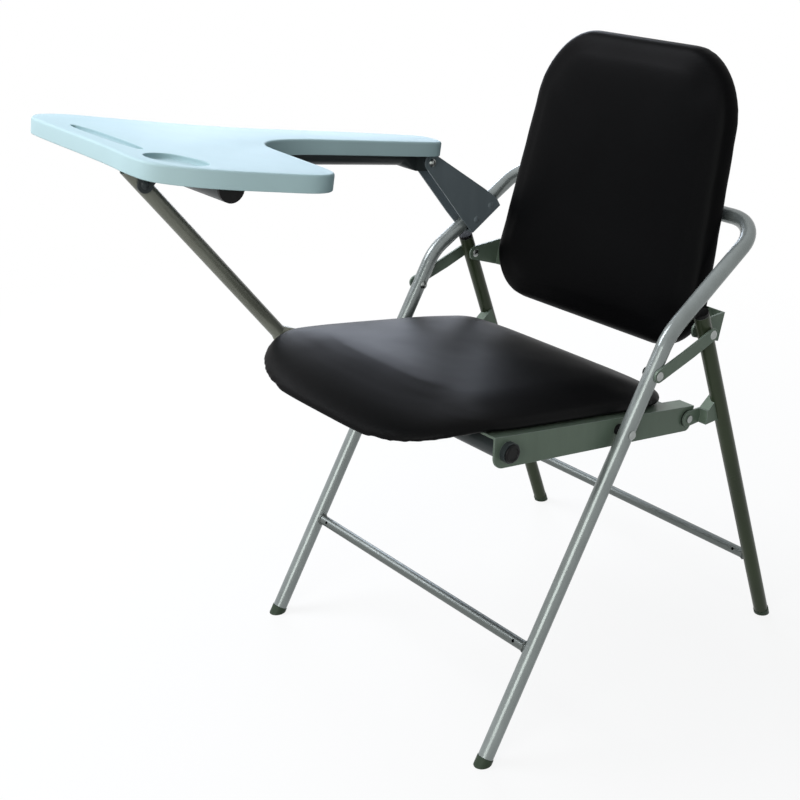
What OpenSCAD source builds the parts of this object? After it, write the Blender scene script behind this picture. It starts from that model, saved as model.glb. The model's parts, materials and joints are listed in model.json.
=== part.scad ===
// Folding training chair with a writing tablet on the sitter's right.
// Millimetres. The chair faces -Y, +X is the sitter's left and the floor is Z = 0.
// The origin is the middle of the whole chair's footprint box, on the floor.

/* [Frame tube] */
// Outer diameter of the frame tubes
tube_d = 20; // [18:0.5:22]
// Wall of the frame tubes
tube_wall = 1.5; // [1:0.1:2.5]

/* [Front frame] */
// Half distance between the front legs at the floor
front_foot_x = 222; // [216:1:230]
// Place of the front feet along Y
front_foot_y = -241; // [-250:1:-225]
// Half width at the bend above the seat
front_bend_x = 219; // [216:1:224]
// Place of the bend along Y
front_bend_y = 50.5; // [45:0.5:56]
// Height of the bend
front_bend_z = 493; // [485:1:500]
// Half width at the corners of the bow behind the backrest
bow_x = 211; // [208:1:216]
// Place of the bow along Y
bow_y = 225; // [222:1:232]
// Height of the bow
bow_z = 598; // [592:1:604]
// Bend radius of the tube at the side bends
side_bend_r = 70; // [40:5:90]
// Bend radius of the tube at the bow corners
bow_bend_r = 46; // [35:1:60]
// Diameter of the crossbars between the legs
crossbar_d = 14; // [10:1:18]
// Height of the front crossbar
front_bar_z = 131; // [100:1:170]

/* [Rear legs] */
// Half distance between the rear feet at the floor
rear_foot_x = 228; // [224:1:232]
// Place of the rear feet along Y
rear_foot_y = 307; // [295:1:320]
// Half distance between the rear legs at their top pivot
rear_top_x = 218.2; // [218:0.2:220]
// Height of the rear crossbar
rear_bar_z = 107; // [80:1:150]
// Length of rear leg above its top pivot
rear_top_reach = 26; // [20:1:27]

/* [Fold pivots] */
// Height of the seat pivot on the front legs
seat_pivot_z = 381.8; // [378:0.5:386]
// Height of the link pivot on the front legs
link_pivot_z = 449.2; // [445:0.5:453]
// Place of the rear leg's top pivot along Y
rear_pivot_y = 121.5; // [119:0.5:125]
// Height of the rear leg's top pivot
rear_pivot_z = 479.4; // [476:0.5:482]
// Distance of the rear seat pivot behind the seat pivot, along the rail
seat_rear_reach = 134.3; // [132:0.5:137]
// Diameter of the pivot pins
pin_d = 6; // [5:0.5:8]
// Width of the side links at their ends
link_w = 17; // [15:1:20]

/* [Seat] */
// Slope of the seat, front up
seat_slope = 9.5; // [8:0.5:11]
// Outer face of the side rails from the middle of the chair
rail_x = 206; // [204:0.5:206.5]
// Sheet thickness of rails, lugs, ears and links
sheet_t = 2.5; // [2:0.1:3]
// Height of a rail at its front end
rail_front_h = 39; // [34:1:44]
// Height of a rail at its rear end
rail_rear_h = 34; // [30:1:38]
// Reach of the rails in front of the seat pivot
rail_reach = 212; // [205:1:220]
// Diameter of the seat's front tube
seat_tube_d = 25; // [20:1:28]
// Place of the seat's front tube in front of the seat pivot
seat_tube_reach = 188.5; // [184:0.5:192]
// Half width of the seat cushion
seat_half_w = 203; // [196:0.5:204]
// Reach of the seat cushion in front of the seat pivot
seat_front_reach = 306; // [300:1:325]
// Reach of the seat cushion behind the seat pivot
seat_back_reach = 122; // [110:1:122]
// Thickness of the seat cushion at its edge, board included
seat_edge_t = 20; // [18:1:26]
// Height of the seat cushion's crown above its edge
seat_crown = 10; // [4:1:16]
// Thickness of the seat board
board_t = 9; // [6:1:12]
// How far the front edge of the seat drops below the rails' top line
seat_front_drop = 36; // [15:1:36]

/* [Backrest] */
// Lean of the backrest from upright
back_lean = 13; // [11:0.5:15]
// Half width of the backrest at its widest
back_half_w = 188; // [180:1:192]
// Half width of the backrest near its top
back_top_half_w = 168; // [160:1:176]
// Reach of the backrest below the rear leg's top pivot
back_low_reach = 45; // [40:1:50]
// Reach of the backrest above the rear leg's top pivot
back_high_reach = 334; // [320:1:345]
// Thickness of the backrest at its middle, board included
back_t = 36; // [34:1:40]
// Thickness of the back board
back_board_t = 8; // [6:1:10]
// Distance of the backrest's rear face behind the rear leg's top pivot line
back_rear_offset = 44.7; // [43:0.5:46]
// Clearance from the pads on the backrest to the bow
pad_gap = 1.2; // [0.8:0.1:2]

/* [Tablet] */
// Middle of the tablet arm from the middle of the chair
arm_x = 215; // [212:0.5:217]
// Slope of the tablet, front up
tablet_slope = 9; // [7:0.5:11]
// Place of the tablet pivot along Y
tablet_pivot_y = 31; // [27:1:35]
// Height of the tablet pivot
tablet_pivot_z = 628.7; // [624:0.5:634]
// Diameter of the tablet arm tube
arm_d = 32; // [28:1:34]
// Height of the arm tube's axis above the tablet pivot
arm_rise = 10.2; // [9:0.2:11]
// Height of the tablet's top face above the tablet pivot
tablet_top = 31.2; // [30:0.2:34]
// Reach of the tablet in front of its pivot
tablet_reach = 571; // [550:1:590]
// Width that the tablet's outline is drawn to
tablet_w = 400; // [385:1:415]
// Depth of the tablet's skirt
skirt_h = 20; // [19:1:24]
// Wall of the tablet's skirt
skirt_t = 3; // [2:0.5:4]
// Thickness of the tablet's top plate
plate_t = 4; // [3:0.5:5]
// Reach of the arm's cross stretch in front of the tablet pivot
cross_reach = 467; // [460:1:472]
// Length of the cross stretch as a share of the tablet's width
cross_share = 0.56; // [0.5:0.01:0.58]
// Depth of the cup recess
cup_depth = 6; // [4:0.5:6]
// Depth of the pen groove
groove_depth = 5; // [3:0.5:7]

/* [Strut] */
// Diameter of the strut tube
strut_d = 20; // [16:1:22]
// Place of the strut's top pivot in front of the tablet pivot
strut_reach = 442.9; // [438:0.5:447]
// Depth of the strut's top pivot below the tablet pivot
strut_depth = 29.3; // [27:0.5:32]

/* [Hidden] */
$fn = 48;

// Shared clearances and small sizes
overrun = 2;             // how far a cut runs past the piece it cuts
bore_gap = 0.05;         // radial running clearance of a pin in its bore
side_gap = 0.25;         // clearance between plates that turn side by side
seat_gap = 0.1;          // clearance of a piece seated in or on another
open_gap = 0.3;          // clearance of an opened pivot
head_d = 12;             // diameter of a rivet head
head_h = 3;              // height of a rivet head
small_head_d = 10;       // diameter of a small rivet head
flat_head_h = 1.6;       // height of a flat rivet head
washer_t = 1.4;          // thickness of the dark washers at the rear seat pivots
washer_d = 22;           // diameter of those washers
bush_d = 14;             // diameter of the bushes at the seat pivots
screw_d = 4;             // shank of the wood screws
screw_head_d = 9;        // head of the wood screws
screw_head_h = 2.4;      // height of that head
screw_bite = 6;          // how far a wood screw goes into its board
bore_d = pin_d + 2 * bore_gap;
tube_bore = tube_d - 2 * tube_wall;

// Small functions for places and directions
function unit(v) = v / norm(v);
function mix(a, b, t) = a + (b - a) * t;
function turn(y, z, a) = [y * cos(a) - z * sin(a), y * sin(a) + z * cos(a)];
function flip(p) = [-p[0], p[1], p[2]];
function low(list, k) = min([for (p = list) p[k]]);
function arc(c, r, a0, a1, n) = [for (i = [0:n]) c + r * [cos(mix(a0, a1, i / n)), sin(mix(a0, a1, i / n))]];

// A closed smooth curve through a ring of points, with a few steps between each pair
function spline(p, a, b, c, t) =
    0.5 * (2 * a + (b - p) * t + (2 * p - 5 * a + 4 * b - c) * t * t + (3 * a - p - 3 * b + c) * t * t * t);
function smooth_ring(ring, steps) = let (n = len(ring)) [
    for (i = [0:n - 1], s = [0:steps - 1])
        spline(ring[(i + n - 1) % n], ring[i], ring[(i + 1) % n], ring[(i + 2) % n], s / steps)
];

// A ring moved inwards, for a ring that runs anticlockwise seen from above
function inset(ring, d) = let (n = len(ring)) [
    for (i = [0:n - 1])
        let (u = unit(ring[(i + 1) % n] - ring[(i + n - 1) % n])) ring[i] + d * [-u[1], u[0]]
];

// Points on the legs, with the right-hand side as the mirror image of the left
front_foot = [front_foot_x, front_foot_y, 0];
front_bend = [front_bend_x, front_bend_y, front_bend_z];
bow_corner = [bow_x, bow_y, bow_z];
rear_foot = [rear_foot_x, rear_foot_y, 0];
rear_pivot = [rear_top_x, rear_pivot_y, rear_pivot_z];
front_up = unit(front_bend - front_foot);
rear_up = unit(rear_pivot - rear_foot);
bow_up = unit(bow_corner - front_bend);
rear_top = rear_pivot + rear_top_reach * rear_up;
function on_front(z) = mix(front_foot, front_bend, z / front_bend_z);
function on_rear(z) = mix(rear_foot, rear_pivot, z / rear_pivot_z);
function on_bow(y) = mix(front_bend, bow_corner, (y - front_bend_y) / (bow_y - front_bend_y));
seat_pivot = on_front(seat_pivot_z);
link_pivot = on_front(link_pivot_z);

// Feet: the tube ends a little above the floor and the plug's head fills the rest
foot_rise = 9;
foot_rim = 0.7;          // how far the plug's head stands out round the tube
foot_head_d = tube_d + 2 * foot_rim;
foot_head_h = 7;
foot_stem = 18;

// Places in the seat's own frame: origin at the seat pivot, -Y forward along the rails
rail_top = 14.8;
rail_rear_over = 11;     // how far the rails run behind the rear seat pivots
rail_rear = -seat_rear_reach - rail_rear_over;
rail_rear_r = 10;
rail_front_r = 16;
rail_nose = 3;           // how far the round front corner stands back from the nose
flange_w = 24;
seat_tube_z = -4.4;
seat_tube_wall = 1.5;
seat_tube_proud = 7;
cap_t = 3;
rear_pivot_drop = 1;     // how far the rear seat pivots lie under the line of the front ones
rear_pivot_seat = [seat_rear_reach, -rear_pivot_drop];
function seat_to_chair(y, z) = [seat_pivot[1], seat_pivot[2]] + turn(y, z, -seat_slope);
rear_seat_pivot = seat_to_chair(rear_pivot_seat[0], rear_pivot_seat[1]);
seat_tube_mid = seat_to_chair(-seat_tube_reach, seat_tube_z);
board_low = rail_top + seat_gap;
board_top = board_low + board_t;
board_inset = 11;
drop_clear = 2;          // how far in front of the rails the seat starts to roll down
drop_start = rail_reach + drop_clear;
stay_w = 26;
stay_place = 96;
rail_in_x = rail_x - sheet_t;
seat_tube_end = rail_x + seat_tube_proud;

// Side stack from a rail outwards
washer_x = rail_x + side_gap / 2;
lug_x = washer_x + washer_t + side_gap / 2;
ear_set = 0.6;           // how far the backrest ears sit inside the line of the rails
ear_x = rail_x - ear_set;
link_x = link_pivot[0] + tube_d / 2 + side_gap;

// Places in the backrest's own frame: origin at the rear leg's top pivot, +Z up the back
back_rear = back_rear_offset;
back_front = back_rear - back_t;
back_board_front = back_rear - back_board_t;
back_board_inset = 9;
back_corner_r = 86;
back_low_corner_r = 68;
back_arch_share = 0.03;  // how much the middle of the upper and lower edges stands out
ear_h = 38;
ear_lift = 4;            // how far the ear's flange sits over its pivot
ear_in = 84;             // width of the ear's flange
ear_taper = 5;           // how much the flange narrows at its lower edge
ear_flare = 1;           // how much it rises at its upper edge
ear_screw_spacing = 20;
ear_screw_in = 72;
back_screw_x = ear_x - ear_screw_in;
pad_x = 92;
pad_d = 16;
pad_neck = 7;
pad_foot_t = 2.5;

// Places in the tablet's own frame: origin at its pivot, -Y forward along the arm
arm_start = 26;
arm_wall = 1.5;
press_l = 26;
slice = 0.5;
eye_w = 24;
eye_r = 12;
eye_sink = 3;            // how far the eye's top lies under the arm's top
eye_top = arm_rise + arm_d / 2 - eye_sink;
bracket_gap = 0.4;
arm_bush_d = 12;
bend_r = 60;
arm_cap_t = 4;
arm_cap_stem = 14;
cross_len = cross_share * tablet_w;
tablet_low = tablet_top - skirt_h;
plate_low = tablet_top - plate_t;
rib_low = arm_rise + arm_d / 2 + seat_gap;
rib_l = 8;
rib_w = 34;
rib_share = [0.14, 0.35, 0.56];
tablet_screw_share = [0.14, 0.56];
cross_rib_share = 0.62;  // place of the rib over the cross stretch
notch_share = [0.01, 0.05]; // rear edge and length of the notch round the bracket
// Outline of the tablet as shares of its width, to the left of the arm, and of its reach
tablet_shares = [
    [-0.262, 0.940], [-0.200, 0.949], [-0.060, 0.952], [0.100, 0.953], [0.260, 0.957], [0.385, 0.965],
    [0.485, 0.958], [0.552, 0.912], [0.600, 0.845], [0.638, 0.750], [0.662, 0.668], [0.632, 0.619],
    [0.560, 0.600], [0.380, 0.587], [0.200, 0.568], [0.110, 0.512], [0.072, 0.413], [0.074, 0.270],
    [0.080, 0.131], [0.080, 0.020], [0.044, -0.012], [-0.020, -0.018], [-0.058, 0.000], [-0.080, 0.080],
    [-0.105, 0.215], [-0.121, 0.350], [-0.138, 0.480], [-0.184, 0.610], [-0.262, 0.745], [-0.320, 0.840],
    [-0.312, 0.906]
];
tablet_ring = smooth_ring([for (s = tablet_shares) [s[0] * tablet_w, -s[1] * tablet_reach]], 4);
notch_gap = 2.5;
notch_w = eye_w + 2 * sheet_t + 2 * notch_gap;
cup_place_share = [0.440, 0.885];
cup_w = 50;
cup_spread = 26;
cup_turn = 16;
recess_wall = 2;
groove_place_share = [0.091, 0.900];
groove_w = 18;
groove_l = 160;
groove_turn = 0.5;
strut_pivot_local = [-strut_reach, -strut_depth];
function tablet_to_chair(y, z) = [tablet_pivot_y, tablet_pivot_z] + turn(y, z, -tablet_slope);
strut_pivot = tablet_to_chair(strut_pivot_local[0], strut_pivot_local[1]);
lug_t = 3;
lug_set = 5.3;           // how far the lug sits inside the arm's middle
strut_lug_x = arm_x - lug_set;
strut_side = strut_lug_x + side_gap;
strut_x = strut_side + strut_d / 2;
lug_boss_r = 11;
lug_front = 6;           // how far the lug's foot runs in front of its pivot
lug_rear = 34;           // how far it runs behind

// The strut runs from its top pivot to the right-hand end of the seat's front tube
strut_run = seat_tube_mid - strut_pivot;
strut_len = norm(strut_run);
strut_angle = atan2(strut_run[1], strut_run[0]);
strut_top_reach = 26;
strut_flat_l = 34;
strut_flat_w = 36;
strut_flat_t = 4;
strut_press_l = 13;
strut_hook_gap = 2.4;
strut_flat_x = rail_x + strut_hook_gap;
hook_gap = 0.4;

// Middle of the footprint box, which becomes the origin
tablet_out = low(tablet_ring, 0);
tablet_front = tablet_to_chair(low(tablet_ring, 1), tablet_low)[0];
chair_left = max(link_x + sheet_t + side_gap + head_h, rear_foot_x + foot_head_d / 2);
chair_rear = rear_foot_y + foot_head_d / 2 / rear_up[2];
middle = [(chair_left - arm_x + tablet_out) / 2, (chair_rear + tablet_front) / 2, 0];

// Colours
steel_paint = [0.62, 0.66, 0.68];
sheet_paint = [0.52, 0.57, 0.55];
bright = [0.78, 0.80, 0.80];
dark_paint = [0.20, 0.22, 0.24];
black = [0.05, 0.05, 0.06];
leather = [0.08, 0.08, 0.09];
wood = [0.62, 0.50, 0.34];
pale_blue = [0.80, 0.92, 0.96];

// Placing helpers
module place() {
    translate(-middle) children();
}
module both_sides() {
    children();
    mirror([1, 0, 0]) children();
}
module in_seat() {
    translate([0, seat_pivot[1], seat_pivot[2]]) rotate([-seat_slope, 0, 0]) children();
}
module in_back() {
    translate([0, rear_pivot_y, rear_pivot_z]) rotate([-back_lean, 0, 0]) children();
}
module in_tablet() {
    translate([-arm_x, tablet_pivot_y, tablet_pivot_z]) rotate([-tablet_slope, 0, 0]) children();
}
// Turns a drawing of Y and Z into a plate that runs from x0 towards +X
module side_plate(x0, t) {
    translate([x0, 0, 0]) rotate([90, 0, 90]) linear_extrude(t) children();
}
// A round bar between two points
module bar(p, q, d) {
    u = unit(q - p);
    translate(p) rotate([0, acos(u[2]), atan2(u[1], u[0])]) cylinder(h = norm(q - p), d = d);
}
// A round bar along X through a side point
module x_bar(x0, x1, y, z, d) {
    translate([min(x0, x1), y, z]) rotate([0, 90, 0]) cylinder(h = abs(x1 - x0), d = d);
}
// A domed head whose flat side is at x0, pointing towards +X
module dome(x0, y, z, d, h) {
    r = (d * d / 4 + h * h) / (2 * h);
    translate([x0, y, z]) rotate([0, 90, 0]) rotate_extrude()
        polygon(concat([[0, 0], [d / 2, 0]], [for (i = [1:6]) let (t = asin(d / 2 / r) * (1 - i / 6))
            [r * sin(t), r * cos(t) - r + h]]));
}
// A bend of a tube: from point p along u, turning towards v
module bend(corner, u, v, r, d) {
    phi = acos(u * v);
    side = unit(v - u * (u * v));
    start = corner - u * r * tan(phi / 2);
    centre = start + side * r;
    axis = cross(-side, u);
    translate(centre) rotate([atan2(u[2], axis[2]), asin(side[2]), atan2(-side[1], -side[0])])
        rotate_extrude(angle = phi) translate([r, 0]) circle(d = d);
}
function bend_cut(u, v, r) = r * tan(acos(u * v) / 2);

// Front frame: two legs and the bow, one bent tube, drawn from the middle of the bow outwards
bow_out = [1, 0, 0];
bow_axis = cross(bow_out, unit([0, bow_up[1], bow_up[2]]));
bow_twist = atan2(-bow_up[1], bow_up[2]);
bow_phi = acos(-bow_up * bow_out);
side_phi = acos(bow_up * front_up);
bow_cut = bend_cut(bow_out, -bow_up, bow_bend_r);
side_cut = bend_cut(bow_up, front_up, side_bend_r);
leg_side = unit(-front_up + bow_up * (bow_up * front_up));
side_twist = atan2(leg_side * -bow_axis, leg_side * cross(-bow_axis, -bow_up));
bend_draw = 0.12;        // how much thinner the tube is in its bends
bend_lap = 1;            // how far straight tube runs into a bend
module tube_piece(l, d, lap) {
    translate([0, 0, -bend_lap]) cylinder(h = l + bend_lap + lap, d = d);
    translate([0, 0, l]) children();
}
module tube_bend(phi, r, d) {
    translate([r, 0, 0]) rotate([90, 0, 180])
        rotate_extrude(angle = phi) translate([r, 0]) circle(d = d - bend_draw);
    translate([r, 0, 0]) rotate([0, phi, 0]) translate([-r, 0, 0]) children();
}
module frame_tube(d, foot_reach) {
    bow_half = bow_x - bow_cut + bend_lap;
    x_bar(-bow_half, bow_half, bow_y, bow_z, d);
    both_sides() translate([bow_x - bow_cut, bow_y, bow_z]) rotate([bow_twist, 0, 0]) rotate([0, 90, 0])
        tube_bend(bow_phi, bow_bend_r, d)
        tube_piece(norm(bow_corner - front_bend) - bow_cut - side_cut, d, bend_lap)
        rotate([0, 0, side_twist]) tube_bend(side_phi, side_bend_r, d)
        tube_piece(norm(front_bend - front_foot) - side_cut - foot_rise, d, foot_reach);
}
module front_frame() {
    color(steel_paint) difference() {
        frame_tube(tube_d, 0);
        frame_tube(tube_bore, overrun);
        for (p = [seat_pivot, link_pivot])
            x_bar(-p[0] - tube_d, p[0] + tube_d, p[1], p[2], bore_d);
        for (y = bracket_rivet_y)
            x_bar(-bow_x - tube_d, -bow_x + tube_d, y, on_bow(y)[2], bore_d);
    }
}
bar_hole_in = 17;        // how far the crossbars' holes lie inside the legs
bar_hole_d = 4.5;
module crossbar(leg_a, leg_b, z, at) {
    color(bright) difference() {
        x_bar(-at[0], at[0], at[1], z, crossbar_d);
        both_sides() bar(leg_a, leg_b, tube_d + 2 * seat_gap);
        both_sides() translate([at[0] - tube_d / 2 - bar_hole_in, at[1], z]) rotate([60, 0, 0])
            cylinder(h = crossbar_d, d = bar_hole_d);
        x_bar(-at[0], at[0], at[1], z, crossbar_d - 2 * tube_wall);
    }
}
module front_crossbar() {
    crossbar(front_foot, front_bend, front_bar_z, on_front(front_bar_z));
}
module rear_crossbar() {
    crossbar(rear_foot, rear_top, rear_bar_z, on_rear(rear_bar_z));
}
module foot(at, up) {
    difference() {
        translate(at) rotate([atan2(-up[1], up[2]), 0, 0]) translate([0, 0, -foot_head_d])
            cylinder(h = foot_head_d + foot_rise - open_gap, d = foot_head_d);
        translate([at[0] - foot_head_d, at[1] - 2 * foot_head_d, -2 * foot_head_d])
            cube([2 * foot_head_d, 4 * foot_head_d, 2 * foot_head_d]);
    }
    bar(at + foot_head_h * up, at + (foot_rise + foot_stem) * up, tube_bore - 2 * seat_gap);
}
module front_feet() {
    color(dark_paint) both_sides() foot(front_foot, front_up);
}
module rear_feet() {
    color(dark_paint) both_sides() foot(rear_foot, rear_up);
}

// Rear legs with their caps and the lugs of the rear seat pivots
module rear_leg() {
    color(steel_paint) difference() {
        bar(rear_foot + foot_rise * rear_up, rear_top, tube_d);
        bar(rear_foot, rear_top + overrun * rear_up, tube_bore);
        x_bar(rear_top_x - tube_d, rear_top_x + tube_d, rear_pivot_y, rear_pivot_z, bore_d);
    }
}
module rear_leg_left() {
    rear_leg();
}
module rear_leg_right() {
    mirror([1, 0, 0]) rear_leg();
}
leg_cap_h = 4.5;
leg_cap_stem = 12;
module rear_leg_caps() {
    color(black) both_sides() {
        bar(rear_top + seat_gap * rear_up, rear_top + leg_cap_h * rear_up, tube_d);
        bar(rear_top - leg_cap_stem * rear_up, rear_top + leg_cap_h * rear_up, tube_bore - 2 * seat_gap);
    }
}
rear_lug_boss = 11;
rear_lug_below = 14;     // where the lug is welded to the leg, below and above its pivot
rear_lug_above = 24;
rear_lug_root = 4;       // how far its root runs past the leg's middle
rear_lug_rise = 2;       // shape of its lower and upper edges
rear_lug_sink = 1;
rear_lug_low_share = 0.7;
rear_lug_high_share = 0.55;
module rear_lugs() {
    boss = rear_lug_boss;
    weld_low = on_rear(rear_seat_pivot[1] - rear_lug_below);
    weld_high = on_rear(rear_seat_pivot[1] + rear_lug_above);
    color(sheet_paint) both_sides() difference() {
        side_plate(lug_x, rear_top_x + rear_lug_root - lug_x) difference() {
            polygon(concat(arc(rear_seat_pivot, boss, 100, 250, 8), [
                [mix(rear_seat_pivot[0], weld_low[1], rear_lug_low_share),
                    rear_seat_pivot[1] - boss + rear_lug_rise],
                [weld_low[1], weld_low[2]], [weld_high[1], weld_high[2]],
                [mix(rear_seat_pivot[0], weld_high[1], rear_lug_high_share),
                    rear_seat_pivot[1] + boss - rear_lug_sink]
            ]));
            translate(rear_seat_pivot) circle(d = bore_d);
        }
        side_plate(lug_x + sheet_t, tube_d) translate(rear_seat_pivot) circle(r = 2 * boss);
        bar(rear_foot, rear_top, tube_d + 2 * seat_gap);
    }
}

// Side links between the front frame and the rear legs
link_run = [rear_pivot_y, rear_pivot_z] - [link_pivot[1], link_pivot[2]];
link_len = norm(link_run);
link_belly = 1.2;        // how far the link's lower edge bellies out
link_back = -0.6;         // how far its upper edge does
link_belly_share = 0.62;
link_back_share = 0.45;
module link() {
    r = link_w / 2;
    color(sheet_paint) side_plate(link_x, sheet_t) translate([link_pivot[1], link_pivot[2]])
        rotate(atan2(link_run[1], link_run[0])) difference() {
            polygon(concat(arc([0, 0], r, 90, 270, 12),
                [[link_len * link_belly_share, -r - link_belly]],
                arc([link_len, 0], r, -90, 90, 12), [[link_len * link_back_share, r + link_back]]));
            circle(d = bore_d);
            translate([link_len, 0]) circle(d = bore_d);
        }
}
module link_left() {
    link();
}
module link_right() {
    mirror([1, 0, 0]) link();
}
module link_pins() {
    p = link_pivot;
    head_x = link_x + sheet_t + side_gap;
    inner = p[0] - tube_d / 2 - seat_gap;
    color(bright) both_sides() {
        x_bar(inner - seat_gap, head_x + seat_gap, p[1], p[2], pin_d);
        dome(head_x, p[1], p[2], head_d, head_h);
        mirror([1, 0, 0]) dome(-inner, p[1], p[2], head_d, head_h - side_gap);
    }
}
module link_rivets() {
    head_x = link_x + sheet_t + seat_gap;
    color(bright) both_sides() {
        x_bar(rear_top_x + tube_d / 2 + open_gap, head_x + seat_gap, rear_pivot_y, rear_pivot_z, pin_d);
        dome(head_x, rear_pivot_y, rear_pivot_z, head_d, head_h);
    }
}

// Seat frame
module rail() {
    front_low = rail_top - rail_front_h;
    outline = concat(
        [[-rail_reach, rail_top]],
        arc([-rail_reach + rail_front_r + rail_nose, front_low + rail_front_r], rail_front_r, 180, 270, 8),
        arc([-rail_rear - rail_rear_r, rail_top - rail_rear_h + rail_rear_r], rail_rear_r, -80, 0, 6),
        [[-rail_rear, rail_top]]);
    color(sheet_paint) {
        side_plate(rail_in_x, sheet_t) difference() {
            polygon(outline);
            circle(d = bore_d);
            translate([-seat_tube_reach, seat_tube_z]) circle(d = seat_tube_d + 2 * seat_gap);
            translate(rear_pivot_seat) circle(d = bore_d);
        }
        difference() {
            translate([rail_x - flange_w, -rail_reach, rail_top - sheet_t])
                cube([flange_w - sheet_t, rail_reach - rail_rear, sheet_t]);
            for (y = seat_screw_y)
                translate([seat_screw_x, y, rail_top - sheet_t - overrun])
                    cylinder(h = sheet_t + 2 * overrun, d = screw_d + 2 * seat_gap);
        }
    }
}
module seat_rail_left() {
    in_seat() rail();
}
module seat_rail_right() {
    in_seat() mirror([1, 0, 0]) rail();
}
flange_screw_share = 0.75;
seat_screw_x = rail_x - flange_screw_share * flange_w;
seat_screw_share = [0.5, 0.2];
rear_screw_share = 0.18;
seat_screw_y = concat([for (s = seat_screw_share) -s * rail_reach], [-rear_screw_share * rail_rear]);
module seat_front_tube() {
    color(steel_paint) in_seat() difference() {
        x_bar(-seat_tube_end, seat_tube_end, -seat_tube_reach, seat_tube_z, seat_tube_d);
        x_bar(-seat_tube_end - overrun, seat_tube_end + overrun, -seat_tube_reach, seat_tube_z,
            seat_tube_d - 2 * seat_tube_wall);
    }
}
tube_cap_stem = 14;
tube_cap_rim = 1;
module seat_tube_caps() {
    stem_d = seat_tube_d - 2 * seat_tube_wall - 2 * seat_gap;
    color(black) in_seat() both_sides() {
        x_bar(seat_tube_end + seat_gap, seat_tube_end + cap_t, -seat_tube_reach, seat_tube_z,
            seat_tube_d - 2 * tube_cap_rim);
        x_bar(seat_tube_end - tube_cap_stem, seat_tube_end + cap_t, -seat_tube_reach, seat_tube_z, stem_d);
    }
}
module seat_rear_stay() {
    color(sheet_paint) in_seat() difference() {
        translate([-rail_x + flange_w + seat_gap, stay_place - stay_w / 2, rail_top - sheet_t])
            cube([2 * (rail_x - flange_w - seat_gap), stay_w, sheet_t]);
        for (x = stay_screw_x)
            translate([x, stay_place, rail_top - sheet_t - overrun])
                cylinder(h = sheet_t + 2 * overrun, d = screw_d + 2 * seat_gap);
    }
}
stay_screw_share = 0.4;
stay_screw_x = [-stay_screw_share * rail_x, stay_screw_share * rail_x];
module wood_screw() {
    cylinder(h = sheet_t + screw_bite, d = screw_d);
    translate([0, 0, -screw_head_h]) cylinder(h = screw_head_h - seat_gap / 2, d = screw_head_d);
    translate([0, 0, -screw_head_h]) cylinder(h = screw_head_h, d = screw_d);
}
module seat_screws() {
    color(bright) in_seat() {
        both_sides() for (y = seat_screw_y) translate([seat_screw_x, y, rail_top - sheet_t]) wood_screw();
        for (x = stay_screw_x) translate([x, stay_place, rail_top - sheet_t]) wood_screw();
    }
}

// Outline of the seat seen from above: straight sides, a full round front and tighter rear corners
seat_straight_share = 0.4;
seat_straight_front = -seat_straight_share * seat_front_reach;
seat_front_power = 3.5;
seat_rear_power = 8;
seat_steps = 11;
function wave(t, power) = pow(max(0, t), 2 / power);
function seat_ring(inside) = let (w = seat_half_w - inside,
    front = seat_front_reach - inside + seat_straight_front,
    rear = seat_back_reach - inside - seat_straight_front)
    concat(
        [for (i = [0:seat_steps]) let (a = 90 * i / seat_steps)
            [w * wave(cos(a), seat_front_power), seat_straight_front - front * wave(sin(a), seat_front_power)]],
        [for (i = [1:seat_steps]) let (a = 90 * i / seat_steps)
            [-w * wave(sin(a), seat_front_power),
                seat_straight_front - front * wave(cos(a), seat_front_power)]],
        [for (i = [0:seat_steps]) let (a = 90 * i / seat_steps)
            [-w * wave(cos(a), seat_rear_power), seat_straight_front + rear * wave(sin(a), seat_rear_power)]],
        [for (i = [1:seat_steps]) let (a = 90 * i / seat_steps)
            [w * wave(sin(a), seat_rear_power), seat_straight_front + rear * wave(cos(a), seat_rear_power)]]);
function seat_drop(y) = let (t = max(0, (-y - drop_start) / (seat_front_reach - drop_start)))
    -seat_front_drop * t * t;

// A closed pad from a stack of rings, each a list of points, closed at both ends by a middle point
module ring_stack(rings, first, last) {
    n = len(rings[0]);
    m = len(rings);
    points = concat([for (r = rings) each r], [first, last]);
    faces = concat(
        [for (k = [0:m - 2], i = [0:n - 1]) let (j = (i + 1) % n) each
            [[k * n + i, k * n + j, (k + 1) * n + j], [k * n + i, (k + 1) * n + j, (k + 1) * n + i]]],
        [for (i = [0:n - 1]) [m * n, (i + 1) % n, i]],
        [for (i = [0:n - 1]) [m * n + 1, (m - 1) * n + i, (m - 1) * n + (i + 1) % n]]);
    polyhedron(points, faces);
}
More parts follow.
